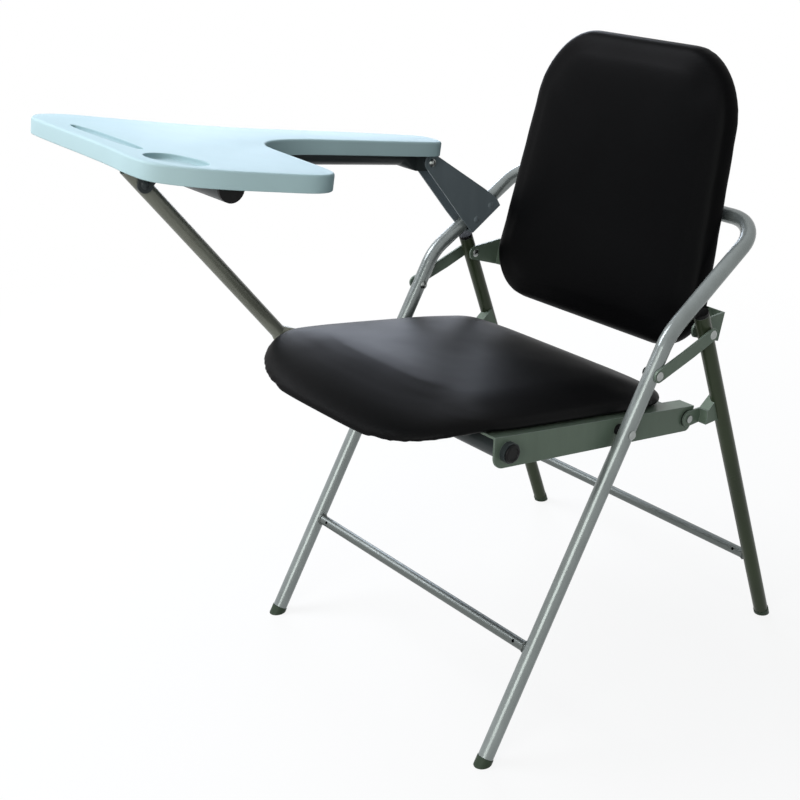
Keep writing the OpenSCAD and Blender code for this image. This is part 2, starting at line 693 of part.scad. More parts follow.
// Section of a cushion: [share of the edge thickness, inward draw], then the crown's rings
edge_draw = 7;
edge_shares = [[0, 0.8], [0.18, 0.2], [0.42, 0], [0.7, 0.18], [0.9, 0.62], [1, 1.25]];
crown_shares = [0.86, 0.68, 0.45, 0.2];
module seat_pad() {
    ring = seat_ring(0);
    mid = [0, (seat_back_reach - seat_front_reach) / 2];
    low_z = board_low + seat_gap;
    edge = [for (e = edge_shares) let (r = seat_ring(e[1] * edge_draw))
        [for (p = r) [p[0], p[1], low_z + e[0] * seat_edge_t + seat_drop(p[1])]]];
    base_z = low_z + board_t / 2;
    bottom = seat_ring(edge_shares[0][1] * edge_draw);
    base = [for (i = [len(crown_shares) - 1:-1:0]) [for (p = bottom) let (q = mix(mid, p, crown_shares[i]))
        [q[0], q[1], base_z + seat_drop(q[1])]]];
    top = seat_ring(edge_shares[5][1] * edge_draw);
    crown = [for (s = crown_shares) [for (p = top) let (q = mix(mid, p, s))
        [q[0], q[1], low_z + seat_edge_t + seat_crown * (1 - s * s) + seat_drop(q[1])]]];
    high_z = low_z + seat_edge_t + seat_crown;
    ring_stack(concat(base, edge, crown), [mid[0], mid[1], base_z], [mid[0], mid[1], high_z]);
}
// Side view of the seat board, flat over the rails and curved down at the front
module board_profile(grow) {
    n = 10;
    from = -seat_front_reach - overrun;
    line = [for (i = [0:n]) mix(-drop_start, from, i / n)];
    polygon(concat(
        [[seat_back_reach + overrun, board_low - grow]], [for (y = line) [y, board_low - grow + seat_drop(y)]],
        [for (i = [n:-1:0]) [line[i], board_top + grow + seat_drop(line[i])]],
        [[seat_back_reach + overrun, board_top + grow]]));
}
module board_solid(inside, grow) {
    intersection() {
        side_plate(-seat_half_w, 2 * seat_half_w) board_profile(grow);
        translate([0, 0, -2 * seat_front_drop]) linear_extrude(4 * seat_front_drop + board_t)
            polygon(seat_ring(inside));
    }
}
module seat_board() {
    color(wood) in_seat() difference() {
        board_solid(board_inset, 0);
        both_sides() for (y = seat_screw_y) translate([seat_screw_x, y, board_low - overrun])
            cylinder(h = overrun + screw_bite, d = screw_d);
        for (x = stay_screw_x) translate([x, stay_place, board_low - overrun])
            cylinder(h = overrun + screw_bite, d = screw_d);
    }
}
module seat_cushion() {
    color(leather) in_seat() difference() {
        seat_pad();
        board_solid(board_inset - open_gap, open_gap);
    }
}

// Pins, bushes and washers of the seat pivots
module seat_pivot_pins() {
    p = seat_pivot;
    outer = p[0] + tube_d / 2 + seat_gap;
    inner = rail_in_x - side_gap;
    color(bright) both_sides() {
        x_bar(inner - seat_gap, outer + seat_gap, p[1], p[2], pin_d);
        dome(outer, p[1], p[2], head_d, head_h);
        mirror([1, 0, 0]) dome(-inner, p[1], p[2], head_d, head_h);
    }
}
module seat_pivot_bushes() {
    p = seat_pivot;
    color(black) both_sides() difference() {
        x_bar(rail_x + side_gap, p[0], p[1], p[2], bush_d);
        x_bar(rail_in_x, p[0] + overrun, p[1], p[2], pin_d + 2 * seat_gap);
        bar(front_foot, front_bend, tube_d + 2 * seat_gap);
    }
}
low_head_h = 1.5;
module rear_pivot_pins() {
    p = rear_seat_pivot;
    outer = lug_x + sheet_t + seat_gap;
    inner = rail_in_x - side_gap;
    color(bright) both_sides() {
        x_bar(inner - seat_gap, outer + seat_gap, p[0], p[1], pin_d);
        x_bar(outer, outer + low_head_h, p[0], p[1], small_head_d);
        mirror([1, 0, 0]) dome(-inner, p[0], p[1], head_d, head_h);
    }
}
module rear_pivot_washers() {
    p = rear_seat_pivot;
    color(black) both_sides() difference() {
        x_bar(washer_x, washer_x + washer_t, p[0], p[1], washer_d);
        x_bar(washer_x - overrun, washer_x + washer_t + overrun, p[0], p[1], pin_d + 2 * seat_gap);
    }
}

// Backrest outline: bottom corners, a gentle taper and top corners
back_steps = 9;
back_wide_share = 0.16;  // share of the height over the pivot at which the backrest is widest
back_taper_share = 0.9;
back_wide_z = back_wide_share * back_high_reach;
function back_ring(inside) = let (w = back_half_w - inside, t = back_top_half_w - inside,
    lo = -back_low_reach + inside, hi = back_high_reach - inside,
    rb = back_low_corner_r - inside, rt = back_corner_r - inside)
    [for (p = concat(
        arc([w - rb, lo + rb], rb, 0, -90, back_steps), [[0, lo]],
        arc([-w + rb, lo + rb], rb, -90, -180, back_steps), arc([-w + rt, hi - rt], rt, 180, 90, back_steps),
        [[0, hi]], arc([w - rt, hi - rt], rt, 90, 0, back_steps)))
        let (rise = max(0, (p[1] - back_wide_z) / (hi - rt - back_wide_z)) * back_taper_share)
            [p[0] * mix(1, t / w, rise),
            p[1] * (1 + back_arch_share * (1 - (p[0] / w) * (p[0] / w)))]];
back_pad_crown = 6;
module back_pad() {
    mid = [0, (back_high_reach - back_low_reach) / 2];
    depth = back_board_front - open_gap - back_front;
    edge_t = depth + back_board_t - back_pad_crown;
    edge = [for (e = edge_shares) let (r = back_ring(e[1] * edge_draw))
        [for (p = r) [p[0], back_rear - seat_gap - e[0] * edge_t, p[1]]]];
    top = back_ring(edge_shares[5][1] * edge_draw);
    swell = [for (s = crown_shares) [for (p = top) let (q = mix(mid, p, s))
        [q[0], back_rear - seat_gap - edge_t - back_pad_crown * (1 - s * s), q[1]]]];
    ring_stack(concat(edge, swell), [mid[0], back_rear - seat_gap, mid[1]], [mid[0], back_front, mid[1]]);
}
module back_plate(inside, grow) {
    translate([0, back_rear + grow, 0]) rotate([90, 0, 0]) linear_extrude(back_board_t + 2 * grow)
        polygon(back_ring(inside));
}
module back_board() {
    color(black) in_back() difference() {
        back_plate(back_board_inset, 0);
        both_sides() for (s = [-1, 1]) translate([back_screw_x, back_rear, s * ear_screw_spacing / 2])
            rotate([90, 0, 0]) translate([0, 0, -overrun]) cylinder(h = screw_bite + overrun, d = screw_d);
    }
}
module back_cushion() {
    color(leather) in_back() difference() {
        back_pad();
        back_plate(back_board_inset - open_gap, open_gap);
    }
}
// Fan-shaped ear from the rear leg's top pivot to the rear face of the backrest
ear_boss = 11;
module back_ear() {
    turn_y = back_rear + seat_gap;
    low_z = ear_lift - ear_h / 2;
    high_z = ear_lift + ear_h / 2;
    color(sheet_paint) in_back() {
        side_plate(ear_x, sheet_t) difference() {
            polygon(concat(arc([0, 0], ear_boss, 120, 240, 8),
                [[turn_y, low_z], [turn_y + sheet_t, low_z], [turn_y + sheet_t, high_z], [turn_y, high_z]]));
            circle(d = bore_d);
        }
        difference() {
            translate([ear_x, turn_y + sheet_t, 0]) rotate([90, 0, 0]) linear_extrude(sheet_t) polygon([
                [0, low_z], [0, high_z], [-ear_in, high_z + ear_flare], [-ear_in, low_z + ear_taper]]);
            for (s = [-1, 1]) translate([back_screw_x, back_rear, s * ear_screw_spacing / 2])
                rotate([-90, 0, 0]) cylinder(h = 3 * sheet_t, d = screw_d + 2 * seat_gap);
        }
    }
}
module back_ear_left() {
    back_ear();
}
module back_ear_right() {
    mirror([1, 0, 0]) back_ear();
}
module back_screws() {
    color(bright) in_back() both_sides() for (s = [-1, 1])
        translate([back_screw_x, back_rear + seat_gap + sheet_t, s * ear_screw_spacing / 2])
            rotate([90, 0, 0]) wood_screw();
}
// Pads on the back board that lean on the bow
bow_in_back = turn(bow_y - rear_pivot_y, bow_z - rear_pivot_z, back_lean);
module back_pads() {
    reach = bow_in_back[0] - tube_d / 2 - pad_gap;
    color(black) in_back() both_sides() translate([pad_x, 0, bow_in_back[1]]) rotate([-90, 0, 0]) {
        translate([0, 0, back_rear + seat_gap]) cylinder(h = reach - back_rear - seat_gap, d = pad_neck);
        translate([0, 0, back_rear + seat_gap]) cylinder(h = pad_foot_t, d = pad_d);
    }
}
module back_pins() {
    inner = ear_x - seat_gap;
    outer = rear_top_x + tube_d / 2;
    color(bright) both_sides() {
        x_bar(inner - seat_gap, outer, rear_pivot_y, rear_pivot_z, pin_d);
        mirror([1, 0, 0]) dome(-inner, rear_pivot_y, rear_pivot_z, head_d, flat_head_h);
    }
}

// Tablet bracket: one folded sheet round the right-hand bow tube, with two side cheeks
bracket_start_y = 103;
bracket_end_y = 156;
bracket_rivet_y = [116, 143];
cheek_in = eye_w / 2 + bracket_gap;
cheek_boss = 12;
cheek_front_rise = 28;   // corners of the cheeks over the bow tube, and how far they lean in
cheek_front_lean = 7;
cheek_rear_low = 2;
cheek_rear_rise = 30;
cheek_rear_lean = 12;
bow_slope = atan2(bow_z - front_bend_z, bow_y - front_bend_y);
module cheek_outline() {
    pivot = [tablet_pivot_y, tablet_pivot_z];
    rear = on_bow(bracket_end_y);
    front = on_bow(bracket_start_y);
    up = [-sin(bow_slope), cos(bow_slope)];
    along = [cos(bow_slope), sin(bow_slope)];
    r = tube_d / 2 + bracket_gap;
    difference() {
        polygon(concat(arc(pivot, cheek_boss, 60, 216, 10), [
            [front[1], front[2]] + cheek_front_rise * up - cheek_front_lean * along,
            [front[1], front[2]] - (r + sheet_t) * up,
            [rear[1], rear[2]] - (r + sheet_t) * up,
            [rear[1], rear[2]] + cheek_rear_low * up,
            [rear[1], rear[2]] + cheek_rear_rise * up - cheek_rear_lean * along
        ]));
        translate(pivot) circle(d = bore_d);
        for (y = bracket_rivet_y) translate([y, on_bow(y)[2]]) circle(d = bore_d);
    }
}
module tablet_bracket() {
    cx = -arm_x;
    rear = on_bow(bracket_end_y);
    front = on_bow(bracket_start_y);
    up = [0, -sin(bow_slope), cos(bow_slope)];
    r = tube_d / 2 + bracket_gap;
    color(dark_paint) {
        side_plate(cx + cheek_in, sheet_t) cheek_outline();
        side_plate(cx - cheek_in - sheet_t, sheet_t) cheek_outline();
        translate([cx, front[1], front[2]]) rotate([bow_slope, 0, 0])
            translate([-cheek_in - sheet_t, 0, -r - sheet_t])
            cube([2 * cheek_in + 2 * sheet_t, norm(rear - front), sheet_t]);
    }
}
bolt_over = 7;
bolt_head_h = 4;
module bracket_bolt() {
    outer = arm_x + cheek_in + sheet_t + seat_gap;
    inner = arm_x - cheek_in - sheet_t - seat_gap;
    color(bright) mirror([1, 0, 0]) {
        x_bar(inner - seat_gap, outer + bolt_over, tablet_pivot_y, tablet_pivot_z, pin_d);
        mirror([1, 0, 0]) dome(-inner, tablet_pivot_y, tablet_pivot_z, head_d, bolt_head_h);
    }
}
nut_h = 4.5;
nut_d = 11;
module bracket_nut() {
    outer = arm_x + cheek_in + sheet_t + seat_gap;
    color(bright) mirror([1, 0, 0]) difference() {
        translate([outer, tablet_pivot_y, tablet_pivot_z]) rotate([0, 90, 0])
            cylinder(h = nut_h, d = nut_d, $fn = 6);
        x_bar(outer - overrun, outer + nut_h + overrun, tablet_pivot_y, tablet_pivot_z, bore_d);
    }
}
module bracket_rivets() {
    outer = arm_x + cheek_in + sheet_t + seat_gap;
    inner = arm_x - cheek_in - sheet_t - seat_gap;
    color(dark_paint) mirror([1, 0, 0]) for (y = bracket_rivet_y) {
        z = on_bow(y)[2];
        x_bar(inner - seat_gap, outer + seat_gap, y, z, pin_d);
        dome(outer, y, z, small_head_d, flat_head_h);
        mirror([1, 0, 0]) dome(-inner, y, z, small_head_d, flat_head_h);
    }
}

// Tablet arm: flattened eye, straight tube, bend and cross stretch in one piece
module arm_run(d, from, extra) {
    fore = [0, -1, 0];
    side = [1, 0, 0];
    corner = [0, -cross_reach, arm_rise];
    cut = bend_cut(fore, side, bend_r);
    bar([0, -from, arm_rise], corner - cut * fore, d);
    bend(corner, fore, side, bend_r, d);
    bar(corner + cut * side, [cross_len + extra, -cross_reach, arm_rise], d);
}
module tablet_arm() {
    color(dark_paint) in_tablet() difference() {
        union() {
            arm_run(arm_d, arm_start + press_l, 0);
            hull() {
                translate([0, -arm_start - press_l, arm_rise]) rotate([90, 0, 0])
                    cylinder(h = slice, d = arm_d, $fn = 32);
                translate([-eye_w / 2, -arm_start - slice, -eye_r]) cube([eye_w, slice, eye_top + eye_r]);
            }
            side_plate(-eye_w / 2, eye_w) polygon(concat([[-arm_start, -eye_r]],
                arc([0, 0], eye_r, -90, 0, 6), [[eye_r, eye_top - eye_r / 2], [eye_r / 2, eye_top],
                [-arm_start, eye_top]]));
        }
        arm_run(arm_d - 2 * arm_wall, arm_start + press_l, overrun);
        x_bar(-eye_w, eye_w, 0, 0, arm_bush_d);
        for (s = tablet_screw_share) translate([0, -s * tablet_reach, 0])
            cylinder(h = arm_d, d = screw_d + 2 * seat_gap);
        for (s = tablet_screw_share) translate([0, -s * tablet_reach, -arm_d])
            cylinder(h = arm_d, d = screw_head_d + 2 * seat_gap);
    }
}
module arm_bush() {
    color(black) in_tablet() difference() {
        x_bar(-eye_w / 2, eye_w / 2, 0, 0, arm_bush_d - 2 * seat_gap);
        x_bar(-eye_w, eye_w, 0, 0, bore_d);
    }
}
module arm_cap() {
    bore = arm_d - 2 * arm_wall - 2 * seat_gap;
    color(black) in_tablet() {
        x_bar(cross_len + seat_gap, cross_len + arm_cap_t, -cross_reach, arm_rise, arm_d);
        x_bar(cross_len - arm_cap_stem, cross_len + arm_cap_t, -cross_reach, arm_rise, bore);
    }
}
module strut_lug() {
    p = strut_pivot_local;
    top = arm_rise - arm_d / 4;
    lug_in = arm_x - strut_lug_x;
    color(dark_paint) in_tablet() difference() {
        side_plate(lug_in, lug_t) difference() {
            polygon(concat(arc(p, lug_boss_r, 200, 350, 8), [[p[0] + lug_rear, top], [p[0] - lug_front, top]]));
            translate(p) circle(d = bore_d);
        }
        arm_run(arm_d + 2 * seat_gap, arm_start, 0);
    }
}

// Writing tablet: top plate, skirt, saddles over the arm and the two recesses
module slot_shape(l, w, h) {
    for (s = [-1, 1]) translate([s * l / 2, 0, 0]) cylinder(h = h, d = w);
    translate([-l / 2, -w / 2, 0]) cube([l, w, h]);
}
module at_share(share, z, angle) {
    translate([share[0] * tablet_w, -share[1] * tablet_reach, z]) rotate(angle) children();
}
module tablet_board() {
    inner = inset(tablet_ring, skirt_t);
    color(pale_blue) in_tablet() difference() {
        union() {
            difference() {
                translate([0, 0, tablet_low]) linear_extrude(skirt_h) polygon(tablet_ring);
                translate([0, 0, tablet_low - overrun]) linear_extrude(skirt_h - plate_t + overrun)
                    polygon(inner);
            }
            for (s = rib_share) translate([-rib_w / 2, -s * tablet_reach - rib_l / 2, rib_low])
                cube([rib_w, rib_l, plate_low - rib_low + plate_t / 2]);
            translate([cross_len * cross_rib_share, -cross_reach - rib_w / 2, rib_low])
                cube([rib_l, rib_w, plate_low - rib_low + plate_t / 2]);
            difference() {
                union() {
                    at_share(cup_place_share, tablet_top - cup_depth - recess_wall, cup_turn)
                        slot_shape(cup_spread, cup_w + recess_wall, cup_depth);
                    at_share(groove_place_share, tablet_top - groove_depth - recess_wall, groove_turn)
                        slot_shape(groove_l - groove_w, groove_w + 2 * recess_wall, groove_depth);
                }
                arm_run(arm_d + 2 * seat_gap, arm_start + press_l, overrun);
            }
        }
        at_share(cup_place_share, tablet_top - cup_depth, cup_turn)
            slot_shape(cup_spread, cup_w - recess_wall, cup_depth + overrun);
        at_share(groove_place_share, tablet_top - groove_depth, groove_turn)
            slot_shape(groove_l - groove_w, groove_w, groove_depth + overrun);
        translate([-notch_w / 2, -tablet_reach * notch_share[0], tablet_low - overrun])
            cube([notch_w, tablet_reach * notch_share[1], plate_low - tablet_low + overrun]);
        for (s = tablet_screw_share) translate([0, -s * tablet_reach, rib_low - overrun])
            cylinder(h = overrun + screw_bite - plate_t / 2, d = screw_d);
    }
}
head_rim = 0.5;
head_sink = 0.7;
module tablet_screws() {
    color(bright) in_tablet() for (s = tablet_screw_share) translate([0, -s * tablet_reach, 0]) {
        translate([0, 0, arm_rise + arm_d / 2 - arm_wall - screw_head_h - head_sink])
            cylinder(h = screw_head_h, d = screw_head_d - 2 * head_rim);
        translate([0, 0, arm_rise + arm_d / 2 - arm_wall - screw_head_h])
            cylinder(h = arm_wall + screw_head_h + screw_bite - plate_t / 2, d = screw_d - seat_gap);
    }
}

// Strut from the tablet arm down to the seat's front tube, with a flattened lower end
module in_strut() {
    translate([-arm_x, strut_pivot[0], strut_pivot[1]]) rotate([strut_angle, 0, 0]) children();
}
module strut_tube() {
    side = arm_x - strut_x;
    flat = arm_x - strut_flat_x - strut_flat_t;
    tube_end = strut_len - strut_flat_l;
    color(steel_paint) in_strut() difference() {
        union() {
            translate([side, -strut_top_reach, 0]) rotate([-90, 0, 0])
                cylinder(h = tube_end + strut_top_reach, d = strut_d);
            hull() {
                translate([side, tube_end - slice, 0]) rotate([-90, 0, 0])
                    cylinder(h = slice, d = strut_d, $fn = 32);
                translate([flat, tube_end + strut_press_l, -strut_flat_w / 2])
                    cube([strut_flat_t, slice, strut_flat_w]);
            }
            translate([flat, tube_end + strut_press_l, -strut_flat_w / 2])
                cube([strut_flat_t, strut_flat_l - strut_press_l, strut_flat_w]);
            x_bar(flat, flat + strut_flat_t, strut_len, 0, strut_flat_w);
        }
        x_bar(side - strut_d, side + strut_d, 0, 0, bore_d);
        x_bar(flat - overrun, flat + strut_flat_t + overrun, strut_len, 0, seat_tube_d + 2 * hook_gap);
        translate([flat - overrun, strut_len, -seat_tube_d / 2 - hook_gap])
            cube([strut_flat_t + 2 * overrun, strut_flat_w, seat_tube_d + 2 * hook_gap]);
        translate([side, -strut_top_reach - overrun, 0]) rotate([-90, 0, 0])
            cylinder(h = tube_end + strut_top_reach, d = strut_d - 2 * tube_wall);
    }
}
module strut_rivet() {
    inner = arm_x - strut_lug_x + lug_t + seat_gap;
    outer = arm_x - strut_x - strut_d / 2 - seat_gap;
    color(bright) in_strut() {
        x_bar(outer - seat_gap, inner + seat_gap, 0, 0, pin_d);
        dome(inner, 0, 0, head_d, head_h);
        mirror([1, 0, 0]) dome(-outer, 0, 0, head_d, head_h);
    }
}

place() front_frame();
place() front_crossbar();
place() front_feet();
place() rear_leg_left();
place() rear_leg_right();
place() rear_crossbar();
place() rear_feet();
place() rear_leg_caps();
place() rear_lugs();
place() link_left();
place() link_right();
place() link_pins();
place() link_rivets();
place() seat_rail_left();
place() seat_rail_right();
place() seat_front_tube();
place() seat_tube_caps();
place() seat_rear_stay();
place() seat_board();
place() seat_cushion();
place() seat_screws();
place() seat_pivot_pins();
place() seat_pivot_bushes();
place() rear_pivot_pins();
place() rear_pivot_washers();
place() back_board();
place() back_cushion();
place() back_ear_left();
place() back_ear_right();
place() back_screws();
place() back_pads();
place() back_pins();
place() tablet_bracket();
place() bracket_bolt();
place() bracket_nut();
place() bracket_rivets();
place() tablet_arm();
place() arm_bush();
place() arm_cap();
place() strut_lug();
place() tablet_board();
place() tablet_screws();
place() strut_tube();
place() strut_rivet();
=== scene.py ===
"""Folding training chair with a writing tablet, dressed for a studio picture.

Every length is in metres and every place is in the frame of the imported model:
+X is the sitter's left, the chair faces -Y and +Z is up.
"""

import json
import logging
from dataclasses import dataclass, field
from enum import Enum
from math import copysign, cos, pi, radians, sin, sqrt, tau
from typing import Callable, Iterable, Sequence, TypeVar, Union

import bmesh
import bpy
import numpy as np
from mathutils import Matrix, Vector, noise

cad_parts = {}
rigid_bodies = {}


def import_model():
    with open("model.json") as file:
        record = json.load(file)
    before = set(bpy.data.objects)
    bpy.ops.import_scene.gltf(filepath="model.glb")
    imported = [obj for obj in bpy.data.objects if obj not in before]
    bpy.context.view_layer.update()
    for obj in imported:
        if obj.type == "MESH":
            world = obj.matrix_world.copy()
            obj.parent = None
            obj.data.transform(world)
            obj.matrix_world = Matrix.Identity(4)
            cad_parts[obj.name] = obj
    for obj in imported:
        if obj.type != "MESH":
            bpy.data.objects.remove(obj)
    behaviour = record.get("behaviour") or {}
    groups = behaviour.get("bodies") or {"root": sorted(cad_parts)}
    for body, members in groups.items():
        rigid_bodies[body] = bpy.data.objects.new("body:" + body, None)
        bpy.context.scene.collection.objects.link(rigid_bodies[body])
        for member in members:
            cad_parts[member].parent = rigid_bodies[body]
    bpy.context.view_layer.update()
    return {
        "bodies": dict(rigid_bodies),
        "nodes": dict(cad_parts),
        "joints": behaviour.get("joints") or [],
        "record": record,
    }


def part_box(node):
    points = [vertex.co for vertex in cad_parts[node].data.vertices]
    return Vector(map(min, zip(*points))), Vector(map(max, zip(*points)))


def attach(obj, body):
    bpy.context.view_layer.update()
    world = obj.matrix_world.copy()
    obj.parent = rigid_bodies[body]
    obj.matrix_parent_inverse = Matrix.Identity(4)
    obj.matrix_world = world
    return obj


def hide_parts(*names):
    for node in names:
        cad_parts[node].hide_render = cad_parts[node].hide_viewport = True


log = logging.getLogger("training_chair")

Point2 = tuple[float, float]
Point3 = tuple[float, float, float]
Colour = tuple[float, float, float]
Linear = tuple[float, float, float, float]
Object = bpy.types.Object
Item = TypeVar("Item")

SEED_OFFSET = Vector((3.7, 9.1, 5.3))
WHITE: Linear = (1.0, 1.0, 1.0, 1.0)
CROWN_POWER = 2.4
PAD_SMOOTH = 60.0


def linear(rgb: Colour) -> Linear:
    """Turn a display colour into the linear colour that shaders use.

    Args:
        rgb: Red, green and blue from 0 to 255, as seen on a display.

    Returns:
        The linear colour with full alpha.
    """
    out = []
    for channel in rgb:
        c = channel / 255
        out.append(c / 12.92 if c <= 0.04045 else ((c + 0.055) / 1.055) ** 2.4)
    return (out[0], out[1], out[2], 1.0)


def shaded(base: Linear, factor: float, lift: float = 0.0) -> Linear:
    """A linear colour scaled and lifted, held at 1."""
    red, green, blue = (min(1.0, c * factor + lift) for c in base[:3])
    return (red, green, blue, 1.0)


def by_node(groups: Iterable[tuple[Item, str]]) -> dict[str, Item]:
    """Spread values that are given for names with spaces between them over the names."""
    return {node: value for value, nodes in groups for node in nodes.split()}


# Shader maths


def operator(operation: str, reflected: bool = False) -> Callable[["Wire", "Value"], "Wire"]:
    """Make a method of Wire that adds one Math node.

    Args:
        operation: The node's operation.
        reflected: Put the other value first, as for 1 - mask.

    Returns:
        The method.
    """

    def method(self: "Wire", other: "Value") -> "Wire":
        """The Math node's result."""
        first, second = (other, self) if reflected else (self, other)
        return self.graph.node("ShaderNodeMath", {"operation": operation}, {0: first, 1: second})

    return method


class Wire:
    """A shader output that takes part in Python arithmetic."""

    __add__, __radd__ = operator("ADD"), operator("ADD", True)
    __sub__, __rsub__ = operator("SUBTRACT"), operator("SUBTRACT", True)
    __mul__, __rmul__ = operator("MULTIPLY"), operator("MULTIPLY", True)
    at_least = operator("MAXIMUM")

    def __init__(self, graph: "Graph", socket: bpy.types.NodeSocket) -> None:
        """Wrap one output socket of the graph."""
        self.graph = graph
        self.socket = socket


Value = Union[Wire, float, int, tuple, Vector]


class Graph:
    """The node tree of one material or world."""

    def __init__(self, tree: bpy.types.NodeTree) -> None:
        """Empty the tree and keep it."""
        self.tree = tree
        tree.nodes.clear()

    def node(
        self,
        kind: str,
        settings: dict[str, object] | None = None,
        inputs: dict[int | str, Value] | None = None,
        output: int | str = 0,
    ) -> Wire:
        """Add any node.

        Args:
            kind: The node's type.
            settings: Its properties, set first; "stops" holds a ramp's (place, colour) pairs.
            inputs: Values or wires for its sockets, by index or name.
            output: The output to return.

        Returns:
            The chosen output as a wire, or a wire without a socket for a node that has no output.
        """
        made = self.tree.nodes.new(kind)
        for name, value in (settings or {}).items():
            if name == "stops":
                self._ramp(made, value)
            else:
                setattr(made, name, value)
        self.feed(made, inputs or {})
        return Wire(self, made.outputs[output] if len(made.outputs) else None)

    def feed(self, made: bpy.types.Node, inputs: dict[int | str, Value]) -> None:
        """Set or link the sockets of a node.

        Args:
            made: The node.
            inputs: Values or wires, by the socket's index or name.
        """
        for name, value in inputs.items():
            socket = made.inputs[name]
            if isinstance(value, Wire):
                self.tree.links.new(value.socket, socket)
            else:
                socket.default_value = value

    @staticmethod
    def _ramp(made: bpy.types.Node, stops: Sequence[tuple[float, tuple]]) -> None:
        """Set a colour ramp's stops."""
        elements = made.color_ramp.elements
        while len(elements) < len(stops):
            elements.new(1.0)
        for element, (place, colour) in zip(elements, stops):
            element.position = place
            element.color = colour

    def place(self, scale: Point3 = (1.0, 1.0, 1.0), turn: Point3 = (0.0, 0.0, 0.0)) -> Wire:
        """The object's own coordinates in metres, turned by radians and scaled."""
        coordinates = self.node("ShaderNodeTexCoord", output="Object")
        inputs = {"Vector": coordinates, "Rotation": turn, "Scale": scale}
        return self.node("ShaderNodeMapping", None, inputs)

    def noise(self, where: Wire, scale: float, detail: float = 3.0, rough: float = 0.5) -> Wire:
        """Soft noise from 0 to 1."""
        inputs = {"Vector": where, "Scale": scale, "Detail": detail, "Roughness": rough}
        return self.node("ShaderNodeTexNoise", None, inputs, "Fac")

    def cells(self, where: Wire, scale: float, feature: str = "F1") -> Wire:
        """Distance to the nearest cell point, or to the nearest cell wall by the feature."""
        inputs = {"Vector": where, "Scale": scale}
        return self.node("ShaderNodeTexVoronoi", {"feature": feature}, inputs, "Distance")

    def mix(self, factor: Value, first: Value, second: Value) -> Wire:
        """Mix two colours."""
        settings = {"data_type": "RGBA", "clamp_factor": True}
        return self.node("ShaderNodeMix", settings, {0: factor, 6: first, 7: second}, 2)

    def between(
        self, value: Wire, low: float, high: float, to_low: float = 0.0, to_high: float = 1.0
    ) -> Wire:
        """Map a value from one range to another, held at both ends."""
        inputs = {0: value, 1: low, 2: high, 3: to_low, 4: to_high}
        return self.node("ShaderNodeMapRange", {"clamp": True}, inputs)

    def vector(self, operation: str, inputs: dict[int | str, Value], output: int | str = 0) -> Wire:
        """Add one Vector Math node."""
        return self.node("ShaderNodeVectorMath", {"operation": operation}, inputs, output)

    def bump(self, height: Wire, strength: float, depth: float, under: Wire | None = None) -> Wire:
        """Raise the surface by a height.

        Args:
            height: Height from 0 to 1.
            strength: How much of it shows.
            depth: Real height in metres.
            under: Another bump to add this one to.

        Returns:
            The bumped normal.
        """
        inputs: dict[int | str, Value] = {"Height": height, "Strength": strength, "Distance": depth}
        if under is not None:
            inputs["Normal"] = under
        return self.node("ShaderNodeBump", None, inputs, "Normal")

    def edge_wear(self, radius: float) -> Wire:
        """Above 0 near convex edges and 0 elsewhere, from the bevelled normal."""
        bevelled = self.node("ShaderNodeBevel", {"samples": 4}, {"Radius": radius}, "Normal")
        plain = self.node("ShaderNodeNewGeometry", output="Normal")
        return 1.0 - self.vector("DOT_PRODUCT", {0: bevelled, 1: plain}, "Value")

    def openness(self, reach: float) -> Wire:
        """1 on open surfaces and less inside hollows, looking as far as the reach."""
        return self.node("ShaderNodeAmbientOcclusion", {"samples": 8}, {"Distance": reach}, "AO")


# Finishes


@dataclass(frozen=True)
class Finish:
    """A surface finish: a name, a colour and the constant parts of its shader."""

    name: str
    colour: Colour
    roughness: float = 0.5
    metallic: float = 0.0
    specular: float = 0.5

    def material(self) -> bpy.types.Material:
        """The finish as a material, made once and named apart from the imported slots."""
        look = f"{self.name}_look"
        known = bpy.data.materials.get(look)
        if known is not None:
            return known
        made = bpy.data.materials.new(look)
        made.use_nodes = True
        graph = Graph(made.node_tree)
        shader = graph.node("ShaderNodeBsdfPrincipled", None, {
            "Roughness": self.roughness, "Metallic": self.metallic, "Specular IOR Level": self.specular,
        })
        graph.node("ShaderNodeOutputMaterial", None, {"Surface": shader})
        colour, rough, normal = self.surface(graph)
        graph.feed(shader.socket.node, {"Base Color": colour, "Roughness": rough, "Normal": normal})
        return made

    def surface(self, graph: Graph) -> tuple[Wire, Wire, Wire]:
        """What varies over the surface: its colour, roughness and normal."""
        raise NotImplementedError

    def dress(self, *objects: Object) -> None:
        """Give the finish to objects, in place of what they had."""
        for obj in objects:
            obj.data.materials.clear()
            obj.data.materials.append(self.material())


